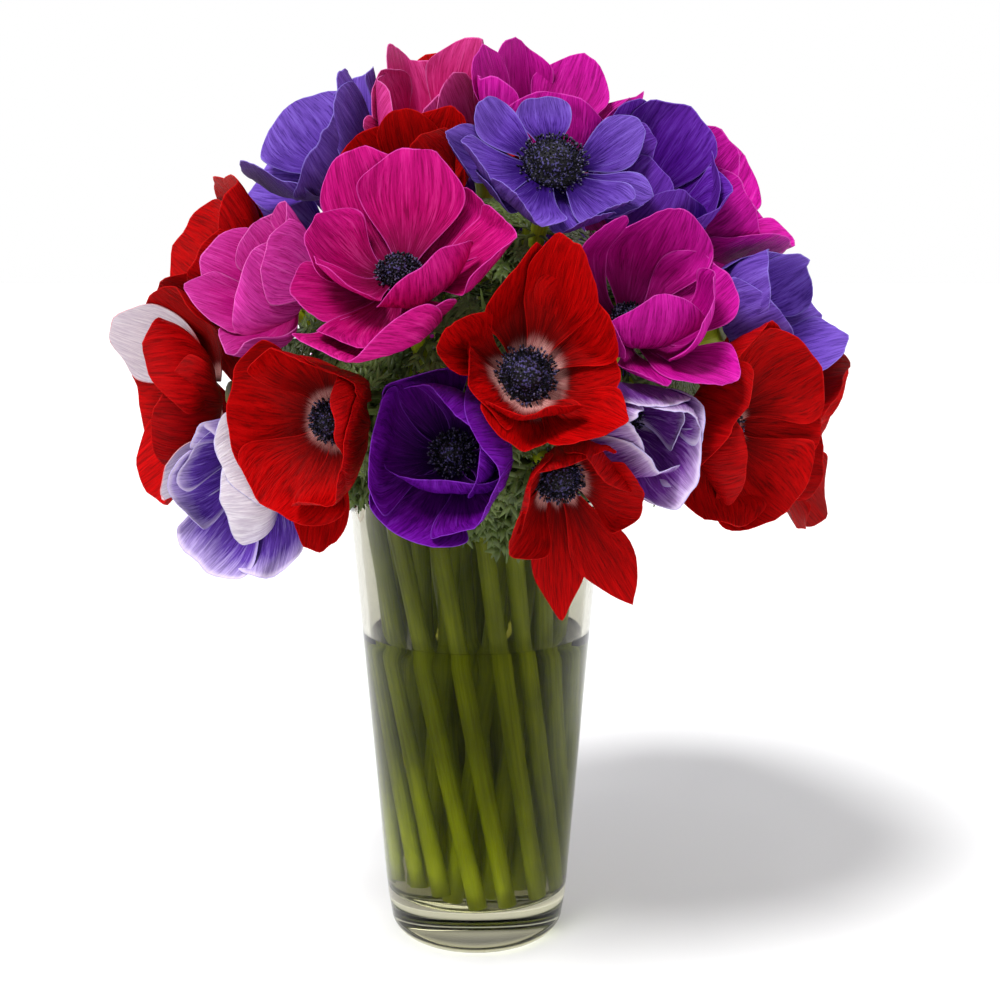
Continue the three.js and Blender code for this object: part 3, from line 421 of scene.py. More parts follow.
WATER = clear_material(
    "still_water", low=(1.0, 1.0, 0.86, 1), high=(1.0, 1.0, 0.14, 1), levels=(24, 52), ior=1.333,
    gloss=0.1, wobble_scale=30.0, wobble=0.02, pass_light=(0.96, 0.98, 0.92, 1),
)


# blooms

# A petal stands at a clock angle round its bloom's axis. It opens and curls away from the axis, in degrees.
# Layers count inwards, cup and wave bend it across, point narrows its tip, and twist rolls it.
Petal = namedtuple(
    "Petal", "clock open curl length width layer cup wave point twist", defaults=(0.45, 0.12, 0, 0),
)


class Bloom:
    """A bloom: its petals, and its axes, out along its stem, up and right as seen from its front.

    Its colour is the first word of its name unless another one is given.
    """

    def __init__(
        self, name, at, turn, tilt, radius, petals,
        front=0, disc=0.75, white=(), frill=1.0, pale=0.0, hue=0.0, colour=None,
    ):
        self.name, self.radius, self.disc = name, radius, disc
        self.colour = colour or name.split("_")[0]
        self.white, self.frill, self.pale, self.hue = white, frill, pale, hue
        self.petals = [Petal(*row) for row in petals]
        turn, tilt = math.radians(turn), math.radians(tilt)
        st, ct, sl, cl = math.sin(turn), math.cos(turn), math.sin(tilt), math.cos(tilt)
        self.axis = np.array([st * cl, -ct * cl, sl])
        self.up = np.array([-st * sl, ct * sl, cl])
        self.right = np.array([ct, st, 0.0])
        self.root = np.array(at, float) - DISC_RISE * self.axis
        self.site = self.root + SITE_RISE * self.axis + front * FRONT
        self.waist = self.root + WAIST_RISE * self.axis


def ruled(name, at, turn, tilt, radius, seed):
    """A plain open bloom with a ring of petals drawn by one rule."""
    petals = []
    for i in range(RULED_COUNT):
        vary = [draw(seed, i * 7 + k) - 0.5 for k in range(6)]
        size = radius * RULED["inner" if i % 2 else "outer"]
        petals.append([
            360 / RULED_COUNT * i + RULED_SPREAD["clock"] * vary[0] + SEED_TURN * seed,
            RULED["open"] + RULED_SPREAD["open"] * vary[1],
            RULED["curl"] + RULED_SPREAD["curl"] * vary[4],
            size * (1 + RULED_SPREAD["length"] * vary[2]),
            size * (1 + RULED_SPREAD["width"] * vary[3]),
            # neighbours lie in different layers, and a third layer closes the odd ring
            2 if i == RULED_COUNT - 1 else i % 2,
            RULED["cup"],
            RULED["wave"],
            0,
            RULED_SPREAD["twist"] * vary[5],
        ])
    return Bloom(name, at, turn, tilt, radius, petals, disc=0.85)


BLOOMS = [
    Bloom("violet_front", [28, -66, 307], 6, 36, 43, [
        [-3, 104, 0, 28, 21, 1, 0.3, 0.08],
        [72, 104, 0, 32, 21, 0, 0.3, 0.08],
        [120, 104, 4, 36, 23, 1, 0.25, 0.1],
        [163, 106, 4, 37, 24, 0, 0.3, 0.1],
        [-124, 102, 0, 32, 22, 1, 0.35, 0.1],
        [-84, 102, 4, 39, 22, 0, 0.3, 0.1],
        [-50, 104, 0, 32, 19, 1, 0.35, 0.1],
        [-106, 112, 0, 35, 26, 2, 0.3, 0.1],
        [-152, 114, 6, 42, 32, 2, 0.3, 0.1],
        [142, 114, 6, 32, 24, 2, 0.3, 0.1],
    ], front=40, disc=1.15, frill=0.5),
    Bloom("magenta_front", [-24, -98, 271], -10, 50, 47, [
        [-25, 34, -4, 49, 36, 0, 0.5, 0.08],
        [4, 36, -6, 44, 40, 1, 0.5, 0.08],
        [46, 44, 0, 40, 36, 0, 0.5, 0.1],
        [88, 50, 0, 44, 42, 1, 0.5, 0.1],
        [134, 10, -24, 38, 42, 0, 0.6, 0.08],
        [178, 98, 6, 60, 56, 0, 0.4, 0.1],
        [172, 72, 2, 42, 50, 1, 0.45, 0.1],
        [-138, 26, 14, 34, 34, 2, 0.4, 0.1, 0.15],
        [-78, 34, 0, 33, 34, 1, 0.5, 0.1],
        [-118, 54, 6, 34, 32, 0, 0.4, 0.1],
    ], hue=0.034, front=30, disc=0.72),
    Bloom("red_front", [18, -117, 238], 4, 20, 40, [
        [-2, 56, -8, 48, 46, 0, 0.45, 0.12, 0.3],
        [46, 38, -6, 38, 38, 1],
        [24, 66, 0, 50, 32, 2, 0.4, 0.1],
        [88, 56, 0, 30, 34, 0, 0.4],
        [134, 58, 0, 38, 32, 1, 0.4],
        [-168, 42, 0, 27, 34, 0, 0.4],
        [176, 20, -14, 24, 34, 2, 0.6, 0.14],
        [-112, 28, -16, 25, 34, 1, 0.55, 0.14],
        [-66, 66, 0, 40, 34, 0, 0.4, 0.12, 0.25],
    ], front=34, disc=0.95, frill=1.3),
    Bloom("red_left", [-46, -106, 222], -12, -2, 38, [
        [-80, 78, 0, 34, 48, 0, 0.35],
        [-18, 46, -4, 34, 40, 1, 0.45, 0.14],
        [32, 30, -26, 38, 38, 0, 0.5, 0.14],
        [76, 44, -36, 42, 38, 1, 0.5, 0.14],
        [112, 42, -24, 42, 38, 0, 0.5, 0.14],
        [158, 30, -26, 38, 40, 2, 0.6, 0.14],
        [-148, 46, -4, 35, 42, 1, 0.4, 0.14],
        [-169, 80, 0, 42, 22, 0, 0.5, 0.16],
    ], front=17, disc=0.72, frill=1.3),
    Bloom("purple_front", [-6, -112, 212], -6, 20, 43, [
        [-35, 32, -4, 38, 46, 0, 0.45, 0.1],
        [22, 30, -6, 38, 44, 1, 0.5, 0.1],
        [74, 32, -6, 39, 42, 0, 0.5, 0.1],
        [104, 10, -34, 28, 30, 2, 0.6, 0.1],
        [146, 36, -8, 34, 42, 1, 0.45, 0.1],
        [-174, 10, -24, 24, 44, 2, 0.55, 0.08],
        [-146, 42, -8, 34, 46, 0, 0.45, 0.1],
        [-92, 44, -4, 38, 46, 1, 0.45, 0.1],
    ], front=20, frill=0.6),
    Bloom("red_low", [29, -109, 204], 8, -6, 36, [
        [-12, 34, -50, 34, 46, 1, 0.5],
        [46, 40, -30, 36, 38, 0, 0.5, 0.14],
        [98, 44, -12, 30, 32, 1, 0.5, 0.14],
        [150, 78, 0, 48, 26, 1, 0.4, 0.14, 0.3],
        [177, 80, 0, 47, 24, 0, 0.45, 0.12, 0.3],
        [-134, 50, -6, 30, 32, 1, 0.5],
        [-80, 40, -26, 36, 40, 0, 0.5],
    ], front=32, disc=0.86),
    Bloom("violet_right", [49, -102, 223], 16, 0, 37, [
        [10, 34, -8, 36, 42, 0, 0.5],
        [56, 42, -6, 36, 44, 1, 0.45, 0.1],
        [100, 44, -6, 34, 42, 0, 0.5, 0.1],
        [84, 20, -26, 27, 26, 2, 0.6, 0.1],
        [142, 46, -4, 36, 42, 1],
        [-172, 40, -4, 36, 42, 0, 0.4],
        [-125, 40, -8, 34, 36, 1, 0.5],
        [-50, 36, -8, 32, 34, 2, 0.5],
    ], front=12, disc=0.8, pale=0.65, hue=0.045),
    Bloom("magenta_right", [54, -88, 254], 22, 44, 40, [
        [-34, 20, 0, 50, 22, 1, 0.6],
        [26, 50, -4, 48, 44, 0],
        [72, 64, 0, 38, 40, 1],
        [122, -8, -20, 44, 46, 0, 0.6],
        [178, -10, -24, 36, 40, 2, 0.5, 0.12, 0.1],
        [154, 60, 6, 42, 34, 1, 0.45, 0.14],
        [-166, 74, 0, 42, 18, 0],
        [-112, 40, 6, 32, 32, 1],
        [-70, 46, 0, 32, 30, 0],
    ], front=38, disc=0.7),
    Bloom("red_right", [87, -80, 217], 26, -2, 40, [
        [3, 50, -8, 39, 44, 0],
        [46, 54, -6, 38, 46, 1, 0.5, 0.14],
        [96, 56, -6, 35, 46, 0, 0.5, 0.14],
        [146, 54, -6, 36, 46, 1, 0.45, 0.14],
        [-158, 34, -8, 36, 46, 0, 0.45, 0.14],
        [-106, -12, -24, 40, 44, 2, 0.5, 0.14],
        [-60, 0, -22, 42, 44, 1, 0.5, 0.14],
    ], front=4, frill=1.2),
    Bloom("red_far_right", [121, -24, 209], 66, -6, 40, [
        [16, 50, 0, 40, 40, 0, 0.45, 0.14],
        [62, 66, 8, 44, 40, 1, 0.4, 0.16, 0.1],
        [106, 66, 8, 42, 36, 0, 0.45, 0.16],
        [146, 60, 8, 44, 38, 1, 0.4, 0.16, 0.1],
        [-160, 44, 0, 38, 40, 0],
        [-100, 30, 0, 38, 40, 1],
        [-40, 40, 0, 38, 40, 2],
    ], front=-8),
    Bloom("violet_far_right", [97, -46, 252], 56, 24, 38, [
        [0, 26, -10, 36, 42, 0, 0.5],
        [52, 40, -4, 38, 44, 1, 0.5],
        [100, 56, 4, 44, 44, 0],
        [146, 60, 0, 44, 42, 1],
        [-168, 26, -16, 38, 42, 0],
        [-115, 10, -26, 38, 42, 1, 0.5],
        [-60, 20, -16, 38, 42, 2],
    ], front=-14),
    Bloom("magenta_high_right", [86, -24, 287], 58, 36, 41, [
        [0, 46, -4, 44, 44, 0],
        [50, 54, -6, 40, 46, 1, 0.5],
        [100, 54, -12, 33, 44, 0],
        [150, 36, -10, 36, 46, 1],
        [-160, 18, -16, 42, 44, 0],
        [-110, 14, -20, 42, 42, 1],
        [-58, 34, -4, 42, 40, 2],
    ], front=-6),
    Bloom("violet_high_right", [56, -48, 292], 22, 44, 38, [
        [0, 36, -6, 44, 42, 0, 0.5],
        [46, 34, -10, 46, 46, 1, 0.5],
        [92, 30, -14, 44, 46, 0],
        [138, 26, -16, 42, 46, 1],
        [-176, 34, -10, 40, 44, 0],
        [-122, 36, -6, 38, 42, 1],
        [-62, 40, 0, 40, 38, 2],
    ], front=6, colour="plum"),
    Bloom("magenta_top", [26, -18, 316], 18, 60, 39, [
        [-170, 24, -10, 42, 46, 0],
        [128, 40, 0, 42, 34, 1, 0.4, 0.14, 0.1],
        [76, 46, 2, 46, 34, 0, 0.4, 0.16, 0.2],
        [34, 42, 2, 47, 34, 1, 0.45, 0.14, 0.15],
        [-12, 34, -4, 47, 36, 0, 0.45, 0.14],
        [-56, 24, -10, 46, 30, 1, 0.6, 0.14],
        [-104, 30, -6, 42, 38, 2, 0.5],
    ], front=10),
    Bloom("pink_top", [-20, -14, 314], -14, 58, 39, [
        [-166, 30, -16, 40, 46, 0, 0.5],
        [136, 26, -16, 40, 44, 1, 0.5],
        [86, 30, -8, 44, 42, 0, 0.5],
        [32, 34, -8, 50, 46, 1, 0.5],
        [-26, 40, -8, 46, 46, 0, 0.5],
        [-74, 50, -4, 42, 44, 1, 0.5],
        [-120, 44, -4, 42, 44, 2, 0.5],
    ], hue=0.03, front=-16),
    Bloom("violet_top_left", [-49, -20, 306], -46, 46, 42, [
        [-104, 66, 4, 42, 36, 0, 0.4, 0.14],
        [-62, 58, -4, 44, 44, 1, 0.4, 0.14],
        [-16, 50, -4, 44, 42, 0, 0.45, 0.14],
        [26, 44, 0, 42, 38, 1, 0.4, 0.16],
        [68, 36, 0, 44, 42, 0, 0.45, 0.14],
        [118, 40, 0, 42, 46, 1],
        [-168, 48, 0, 42, 44, 2, 0.4],
    ], front=-34),
    Bloom("red_top", [-21, -60, 296], -16, 50, 33, [
        [-58, 64, -6, 32, 38, 0, 0.5],
        [-14, 50, -6, 33, 26, 1, 0.6],
        [34, 66, -6, 37, 42, 0, 0.5],
        [86, 58, -4, 34, 38, 1],
        [140, 24, -16, 30, 38, 0],
        [-168, 26, -14, 30, 36, 1],
        [-112, 48, 0, 32, 38, 0],
    ], front=-6, disc=0.7),
    Bloom("pink_left", [-64, -74, 265], -44, 26, 34, [
        [-43, 50, -8, 26, 30, 1],
        [-86, 60, -4, 36, 32, 0],
        [-128, 62, 0, 40, 34, 1, 0.45, 0.12, 0.15],
        [174, 50, 0, 38, 36, 0, 0.5],
        [124, 4, -26, 38, 40, 1],
        [64, 34, -14, 32, 38, 0],
        [12, 46, -8, 29, 32, 2, 0.45, 0.12, 0.15],
    ], disc=0.6),
    Bloom("red_high_left", [-88, -34, 264], -72, 24, 40, [
        [-20, 50, -6, 44, 46, 0],
        [34, 50, -6, 44, 44, 1],
        [86, 22, -14, 40, 42, 0],
        [136, 24, -14, 40, 42, 1],
        [-172, 56, 0, 42, 42, 0],
        [-124, 60, -4, 44, 44, 1],
        [-74, 56, -6, 44, 44, 2],
    ], front=-24),
    Bloom("red_far_left", [-96, -60, 226], -60, 4, 42, [
        [-6, 54, 0, 42, 38, 0, 0.4],
        [-50, 62, 0, 46, 42, 1, 0.4],
        [-96, 56, -6, 44, 50, 0, 0.4],
        [-146, 60, -4, 44, 46, 1, 0.4],
        [164, 48, 0, 42, 44, 0, 0.4],
        [110, 8, -28, 40, 46, 1, 0.5],
        [50, 16, -20, 40, 44, 2, 0.5],
    ], white=(1, 4), front=-10),
    Bloom("violet_low_left", [-76, -82, 203], -38, -8, 35, [
        [-40, 50, 0, 34, 40, 1, 0.4, 0.14],
        [-94, 60, -4, 37, 42, 0, 0.4, 0.14],
        [-146, 60, 0, 42, 42, 1, 0.4, 0.16],
        [160, 48, -4, 38, 42, 0, 0.4, 0.14],
        [106, -10, -20, 40, 42, 1, 0.4, 0.14],
        [56, -10, -24, 38, 40, 0, 0.5, 0.16],
        [10, 34, -10, 34, 38, 2, 0.5, 0.14],
    ], white=(4, 5), front=-14, disc=0.7, pale=0.6),
    ruled("red_back_right", [92, 44, 212], 116, 4, 40, 17),
    ruled("violet_back_low", [44, 98, 206], 154, 0, 40, 19),
    ruled("magenta_back_low", [-32, 102, 208], -163, 2, 40, 18),
    ruled("red_back_left", [-97, 40, 208], -110, 4, 40, 31),
    ruled("magenta_back_right", [66, 44, 274], 124, 36, 39, 23),
    ruled("plum_back", [6, 82, 272], 178, 36, 40, 20),
    ruled("violet_back_left", [-56, 54, 276], -136, 38, 39, 22),
    ruled("red_back_high", [4, 36, 314], 176, 70, 39, 21),
]


def centre_line(open_, curl, length):
    """The middle line of a petal beside its bloom's axis: how far out, how far along, and its angle."""
    steps = 24
    t = np.arange(steps + 1) / steps
    angle = np.radians(open_ + (PETAL_FLARE - open_) * (1 - t) ** BOWL + curl * t * t)
    out = PETAL_ROOT_RADIUS + np.concatenate([[0], np.cumsum(np.sin(angle) * length / steps)[:-1]])
    along = np.concatenate([[0], np.cumsum(np.cos(angle) * length / steps)[:-1]])
    return t, out, along, angle


def breadth(t):
    """How wide a petal is along its length, as a share: narrow at the root, widest at two thirds."""
    widest = 0.68
    return 0.2 + 0.8 * smoothstep(t, 0, widest) - 0.2 * np.maximum(0, (t - widest) / (1 - widest)) ** 2


def petal_grid(bloom, petal, S, T, seed, frill):
    """Points of a petal's middle surface: S runs across it from -1 to 1 and T from root to tip."""
    t, *line = centre_line(petal.open - LAYER_ANGLE * petal.layer, petal.curl, petal.length)
    one, two, three = (2 * math.pi * draw(seed, k) for k in (1, 2, 3))
    rounding = 0.3 * (1 - (1 - np.abs(S) ** 2.2 + 1e-9) ** 0.62)
    ragged = 0.02 * np.sin(2.6 * S + one) + 0.012 * frill * np.sin(8 * S + two)
    reach = np.clip(T * (1 - rounding - petal.point * np.abs(S)) * (1 + ragged * T**3), 0, 1)
    out, along, angle = (np.interp(reach, t, values) for values in line)
    clock = math.radians(petal.clock)
    radial = bloom.up * math.cos(clock) + bloom.right * math.sin(clock)
    side = np.cross(radial, bloom.axis)
    inward = np.sin(angle)[..., None] * bloom.axis - np.cos(angle)[..., None] * radial
    half = petal.width / 2 * breadth(reach)
    across = half * np.sin(petal.cup * S) / petal.cup
    ripple = np.sin(2 * math.pi * (1.3 * reach + petal.clock / 97) + np.where(S > 0, 2, 0))
    lift = half * (1 - np.cos(petal.cup * S)) / petal.cup + petal.wave * half * S * S * reach * ripple
    lift += frill * 0.055 * half * np.abs(S) ** 4 * reach * np.sin(13 * reach + three)
    lift += frill * 0.9 * reach**6 * np.sin(5.5 * S + one)
    roll = math.radians(petal.twist) * reach
    return (
        bloom.root + LAYER_RISE * petal.layer * bloom.axis
        + out[..., None] * radial
        + along[..., None] * bloom.axis
        + (across * np.cos(roll) - lift * np.sin(roll))[..., None] * side
        + (lift * np.cos(roll) + across * np.sin(roll))[..., None] * inward
    )


def cell_walls(bloom):
    """A bloom's share of the space: flat walls between it and its neighbours, leaning over the rear one."""
    walls = []
    for other in BLOOMS:
        across = other.waist - bloom.waist
        apart = np.linalg.norm(across)
        if other is bloom or apart > WALL_REACH:
            continue
        normal = unit(other.site - bloom.site)
        share = 0.5 + (bloom.radius**2 - other.radius**2) / (2 * apart**2)
        walls.append((normal, (bloom.waist + share * across) @ normal))
    return walls


def confine(points, bloom, walls, margin):
    """Petals pressed on their neighbours slide along the walls of their bloom's space and up from them."""
    slides, settles = 3, 12
    p = points.reshape(-1, 3).copy()
    for slide in range(slides):
        for normal, height in walls:
            depth = p @ normal - height + margin
            near = depth > -SOFT_EDGE
            if not near.any():
                continue
            deep = depth[near]
            pressed = -SOFT_EDGE * np.exp(-(deep + SOFT_EDGE) / SOFT_EDGE)
            p[near] += np.outer(pressed - deep, normal)
            if slide == 0:
                p[near] += np.outer(LIFT_SHARE * (deep - pressed), bloom.axis)
    for _ in range(settles):
        away = p - BOUQUET_CENTRE
        far = np.linalg.norm(away, axis=1)
        low = far < STEM_ZONE
        p[low] = BOUQUET_CENTRE + away[low] * (STEM_ZONE / far[low])[:, None]
        for normal, height in walls:
            depth = p @ normal - height + margin
            p -= np.outer(np.maximum(depth, 0), normal)
    return p.reshape(points.shape)


def deepest(bloom, petal, walls, margin):
    """How far a petal's middle line would run into its neighbours."""
    stops = np.array([0.45, 0.6, 0.75, 0.9, 1.0])
    line = petal_grid(bloom, petal, np.zeros(stops.size), stops, 0, 0.0)
    return max(((line @ normal - height + margin).max() for normal, height in walls), default=0)


def leaning(bloom, petal, walls, margin):
    """A petal leans on its neighbours: it opens only as far as its middle line has room."""
    while petal.open > LEAST_OPEN and deepest(bloom, petal, walls, margin) > LEAN_DEPTH:
        petal = petal._replace(open=petal.open - LEAN_STEP)
    return petal


def folds(S, T, seed):
    """Fine folds along a petal, in mm off its middle surface."""
    one, two, three = (2 * math.pi * draw(seed, k) for k in (5, 6, 7))
    relief = 0.3 * np.sin(6.5 * S + 2.2 * T + one) * np.sin(math.pi * T)
    relief += 0.14 * np.sin(19 * S + two) * T * (1 - 0.4 * T) + 0.1 * np.sin(31 * S + 3 * T + three) * T
    return relief


def petals_piece(index):
    """All petals of a bloom, each a thin sheet that is thinner at its edge."""
    bloom = BLOOMS[index]
    walls = cell_walls(bloom)
    rows, columns = FINE_GRID if index < FINE_BLOOMS else PLAIN_GRID
    u, v = np.linspace(-1, 1, columns), np.linspace(0, 1, rows)
    S, T = np.meshgrid(np.sin(u * math.pi / 2), 1 - (1 - v) ** 1.3)
    side = np.repeat([0.0, 1.0], T.size)
    pile = Pile()
    for k, petal in enumerate(bloom.petals):
        seed = index * 31 + k * 3 + 1
        margin = CELL_MARGIN + LAYER_MARGIN * petal.layer
        petal = leaning(bloom, petal, walls, margin)
        grid = confine(petal_grid(bloom, petal, S, T, seed, bloom.frill), bloom, walls, margin)
        grid = grid + normals(grid) * folds(S, T, seed)[..., None]
        half = petal.width / 2 * breadth(T)
        edge = np.minimum((1 - np.abs(S)) * half, (1 - T) * petal.length)
        points, faces = shell(grid, PETAL_THICKNESS * (0.45 + 0.55 * smoothstep(edge, 0, 4)))
        white = smoothstep(T, 0.35, 0.6) * (0.95 if k in bloom.white else 0)
        path = (twice(T) * petal.length + PETAL_ROOT_RADIUS) / bloom.disc
        pile.add(
            points, faces,
            petal=(twice(S), twice(T), side),
            tone=(draw(seed, 9), twice(white), twice(edge)),
            reach=(path, bloom.pale, bloom.hue),
        )
    slot = f"petals_{bloom.colour}"
    pile.piece(f"petals_{bloom.name}", PETALS[bloom.colour], slot, f"bloom_{bloom.name}")


# dark centres
def revolve(profile, sides):
    """A surface of revolution about z from (radius, height) pairs that start and end on the axis."""
    turn = ring_angles(sides)
    inner = np.array(profile[1:-1], float)
    ring = np.stack([np.cos(turn), np.sin(turn)], 1)
    points = [[0, 0, profile[0][1]]]
    for r, z in inner:
        points += [[r * x, r * y, z] for x, y in ring]
    points.append([0, 0, profile[-1][1]])
    faces = grid_faces(len(inner), sides, 1, wrap=True)
    last = 1 + (len(inner) - 1) * sides
    for j in range(sides):
        k = (j + 1) % sides
        faces.append([0, 1 + k, 1 + j])
        faces.append([len(points) - 1, last + j, last + k])
    return np.array(points, float), faces


CUSHION, CUSHION_FACES = revolve([
    (0, 0.4), (3.2, 0.6), (8.2, 3.6), (9.2, 5.0), (8.2, 6.0), (6.2, 6.0), (5.6, 7.4), (4.6, 9.2),
    (2.8, 10.4), (0, 10.9),
], 28)
GRAIN, GRAIN_FACES = revolve([(0, -0.5), (0.36, -0.34), (0.5, 0.0), (0.36, 0.34), (0, 0.5)], 5)
STALK_FACES = [[0, 1, 4, 3], [1, 2, 5, 4], [2, 0, 3, 5], [2, 1, 0], [3, 4, 5]]
UP = np.array([0.0, 0.0, 1.0])


def axes_along(direction):
    """Two directions across each of the given ones."""
    helper = np.where(np.abs(direction[:, 2:3]) < 0.9, [UP], [[1.0, 0.0, 0.0]])
    x = unit(np.cross(direction, helper))
    return x, np.cross(direction, x)


def centre_piece(index):
    """A velvety dome in a dense ring of dark stamens."""
    bloom = BLOOMS[index]
    basis = np.stack([bloom.right, np.cross(bloom.axis, bloom.right), bloom.axis])
    rng = np.random.default_rng(CENTRE_SEED + index)
    size = bloom.disc
    pile = Pile()
    pile.add(bloom.root + CUSHION * [size, size, 1] @ basis, CUSHION_FACES, grain=(0, 0, 0.2))

    # where the anthers of the ring sit and which way they point
    ring, knobs = FINE_CENTRE if index < FINE_BLOOMS else PLAIN_CENTRE
    golden = math.pi * (3 - math.sqrt(5))
    order = np.arange(ring)
    share = (order + 0.5) / ring
    turn = order * golden + rng.uniform(-0.15, 0.15, ring)
    radius = size * (6.4 + 4.6 * share**0.8 + rng.uniform(-0.5, 0.5, ring))
    height = 8.2 - 3.4 * share**1.6 + rng.uniform(-0.6, 0.9, ring)
    lean = np.radians(10 + 48 * share + rng.uniform(-22, 22, ring))
    out = np.stack([np.cos(turn), np.sin(turn), np.zeros(ring)], 1)
    tip = out * radius[:, None] + UP * height[:, None]
    aim = out * np.sin(lean)[:, None] + UP * np.cos(lean)[:, None]
    aim = unit(aim + rng.uniform(-0.25, 0.25, (ring, 3)))

    # the grains of the dome
    dome = np.arange(knobs)
    polar = np.arccos(1 - 0.86 * (dome + 0.5) / knobs)
    spin = dome * golden
    knob_aim = np.stack([np.sin(polar) * np.cos(spin), np.sin(polar) * np.sin(spin), np.cos(polar)], 1)
    knob = knob_aim * [5.5 * size, 5.5 * size, 5.2] + [0, 0, 5.9]

    grain_at = np.vstack([tip, knob])
    grain_aim = np.vstack([aim, knob_aim])
    length = np.concatenate([rng.uniform(1.2, 1.7, ring), rng.uniform(1.0, 1.4, knobs)])
    width = np.concatenate([rng.uniform(0.6, 0.85, ring), rng.uniform(0.75, 0.95, knobs)])
    chance = rng.uniform(0, 1, ring + knobs)
    kind = np.concatenate([np.ones(ring), np.full(knobs, 0.45)])
    x, y = axes_along(grain_aim)
    for i in range(ring + knobs):
        points = (
            grain_at[i]
            + GRAIN[:, :1] * width[i] * x[i]
            + GRAIN[:, 1:2] * width[i] * y[i]
            + GRAIN[:, 2:] * length[i] * grain_aim[i]
        )
        pile.add(bloom.root + points @ basis, GRAIN_FACES, grain=(kind[i], GRAIN[:, 2] + 0.5, chance[i]))

    # a thin stalk from the cushion to each anther
    foot = out * (radius * 0.55)[:, None] + UP * (height - 4.2)[:, None]
    top = tip - aim * 0.6
    x, y = axes_along(unit(top - foot))
    for i in range(ring):
        corners = [np.cos(a) * x[i] + np.sin(a) * y[i] for a in (0.0, 2.1, 4.2)]
        points = [foot[i] + 0.2 * c for c in corners] + [top[i] + 0.16 * c for c in corners]
        pile.add(bloom.root + np.array(points) @ basis, STALK_FACES, grain=(1, 0.3, chance[i]))
    pile.piece(f"centre_{bloom.name}", CENTRE, "centres")


# stems and leaves
def stem_places():
    """Where each stem stands on the base and leans on the rim: low blooms outside, high blooms inside."""
    height = [unit(bloom.root - BOUQUET_CENTRE)[2] for bloom in BLOOMS]
    side = [math.atan2(bloom.root[1], bloom.root[0]) for bloom in BLOOMS]
    by_height = sorted(range(len(BLOOMS)), key=lambda i: height[i])
    places, taken = {}, 0
    for count, foot_radius, rim_radius, twist in STEM_RINGS:
        members = sorted(by_height[taken:taken + count], key=lambda i: side[i])
        taken += count
        step = 2 * math.pi / count
        start = sum(side[i] - k * step for k, i in enumerate(members)) / count
        for k, i in enumerate(members):
            even = start + k * step
            lean = min(max((side[i] - even) * STEM_CROWDING, -0.35 * step), 0.35 * step)
            foot = even + math.radians(twist) + (draw(i, 9) - 0.5) * FOOT_SPREAD
            rim = even + lean
            raised = GLASS_BASE + 3 * FIT_GAP + FOOT_RAISE * max(0, draw(i, 4) - 0.5)
            places[i] = (
                np.array([foot_radius * math.cos(foot), foot_radius * math.sin(foot), raised]),
                np.array([rim_radius * math.cos(rim), rim_radius * math.sin(rim), VASE_HEIGHT]),
            )
    return places


PLACES = stem_places()


def stem_path(index):
    """Points along a stem: a straight run through the water, then one curve from the rim to the bloom."""
    foot, rim = PLACES[index]
    bloom = BLOOMS[index]
    end = bloom.root - bloom.axis * (CORE_DEPTH + FIT_GAP)
    rise = unit(rim - foot)
    span = np.linalg.norm(end - rim)
    one, two = rim + rise * 0.42 * span, end - bloom.axis * 0.38 * span
    t = np.linspace(0, 1, 27)[1:, None]
    curve = (1 - t) ** 3 * rim + 3 * (1 - t) ** 2 * t * one + 3 * (1 - t) * t * t * two + t**3 * end
    straight = foot + np.linspace(0, 1, 18)[:, None] * (rim - foot)
    return np.vstack([straight, curve])


def tube(path, radii, sides):
    """A closed tube along a path, with flat ends."""
    way = unit(np.gradient(path, axis=0))
    x = np.cross(way[0], [0.0, 1.0, 0.0])
    turn = ring_angles(sides)
    points = []
    for p, d, r in zip(path, way, radii):
        x = unit(x - d * (x @ d))
        y = np.cross(d, x)
        points.append(p + r * (np.cos(turn)[:, None] * x + np.sin(turn)[:, None] * y))
    points = np.array(points).reshape(-1, 3)
    faces = grid_faces(len(path), sides, wrap=True)
    faces.append(list(range(sides))[::-1])
    faces.append([(len(path) - 1) * sides + j for j in range(sides)])
    return points, faces


def inside_zone(points):
    """Leaves keep within the ball that the petals stay out of."""
    away = points - BOUQUET_CENTRE
    far = np.linalg.norm(away, axis=-1, keepdims=True)
    limit = STEM_ZONE - 1.2
    return np.where(far > limit, BOUQUET_CENTRE + away * limit / np.maximum(far, 1), points)


def lobe(pile, base, along, side, length, width, chance, keep):
    """One narrow pointed lobe of a leaf, folded along its middle."""
    normal = unit(np.cross(side, along))
    grid = []
    for t, share in [(0.0, 0.55), (0.45, 1.0), (1.0, 0.08)]:
        mid = base + along * length * t - normal * LEAF_DROOP * length * t * t
        half = side * width * share / 2
        grid.append([mid - half, mid - normal * 0.18 * width * share, mid + half])
    grid = inside_zone(np.array(grid)) if keep else np.array(grid)
    points, faces = shell(grid, np.full(grid.shape[:2], 0.35))
    pile.add(points, faces, stem=(0, 0, chance), leaf=(1, 0, chance))


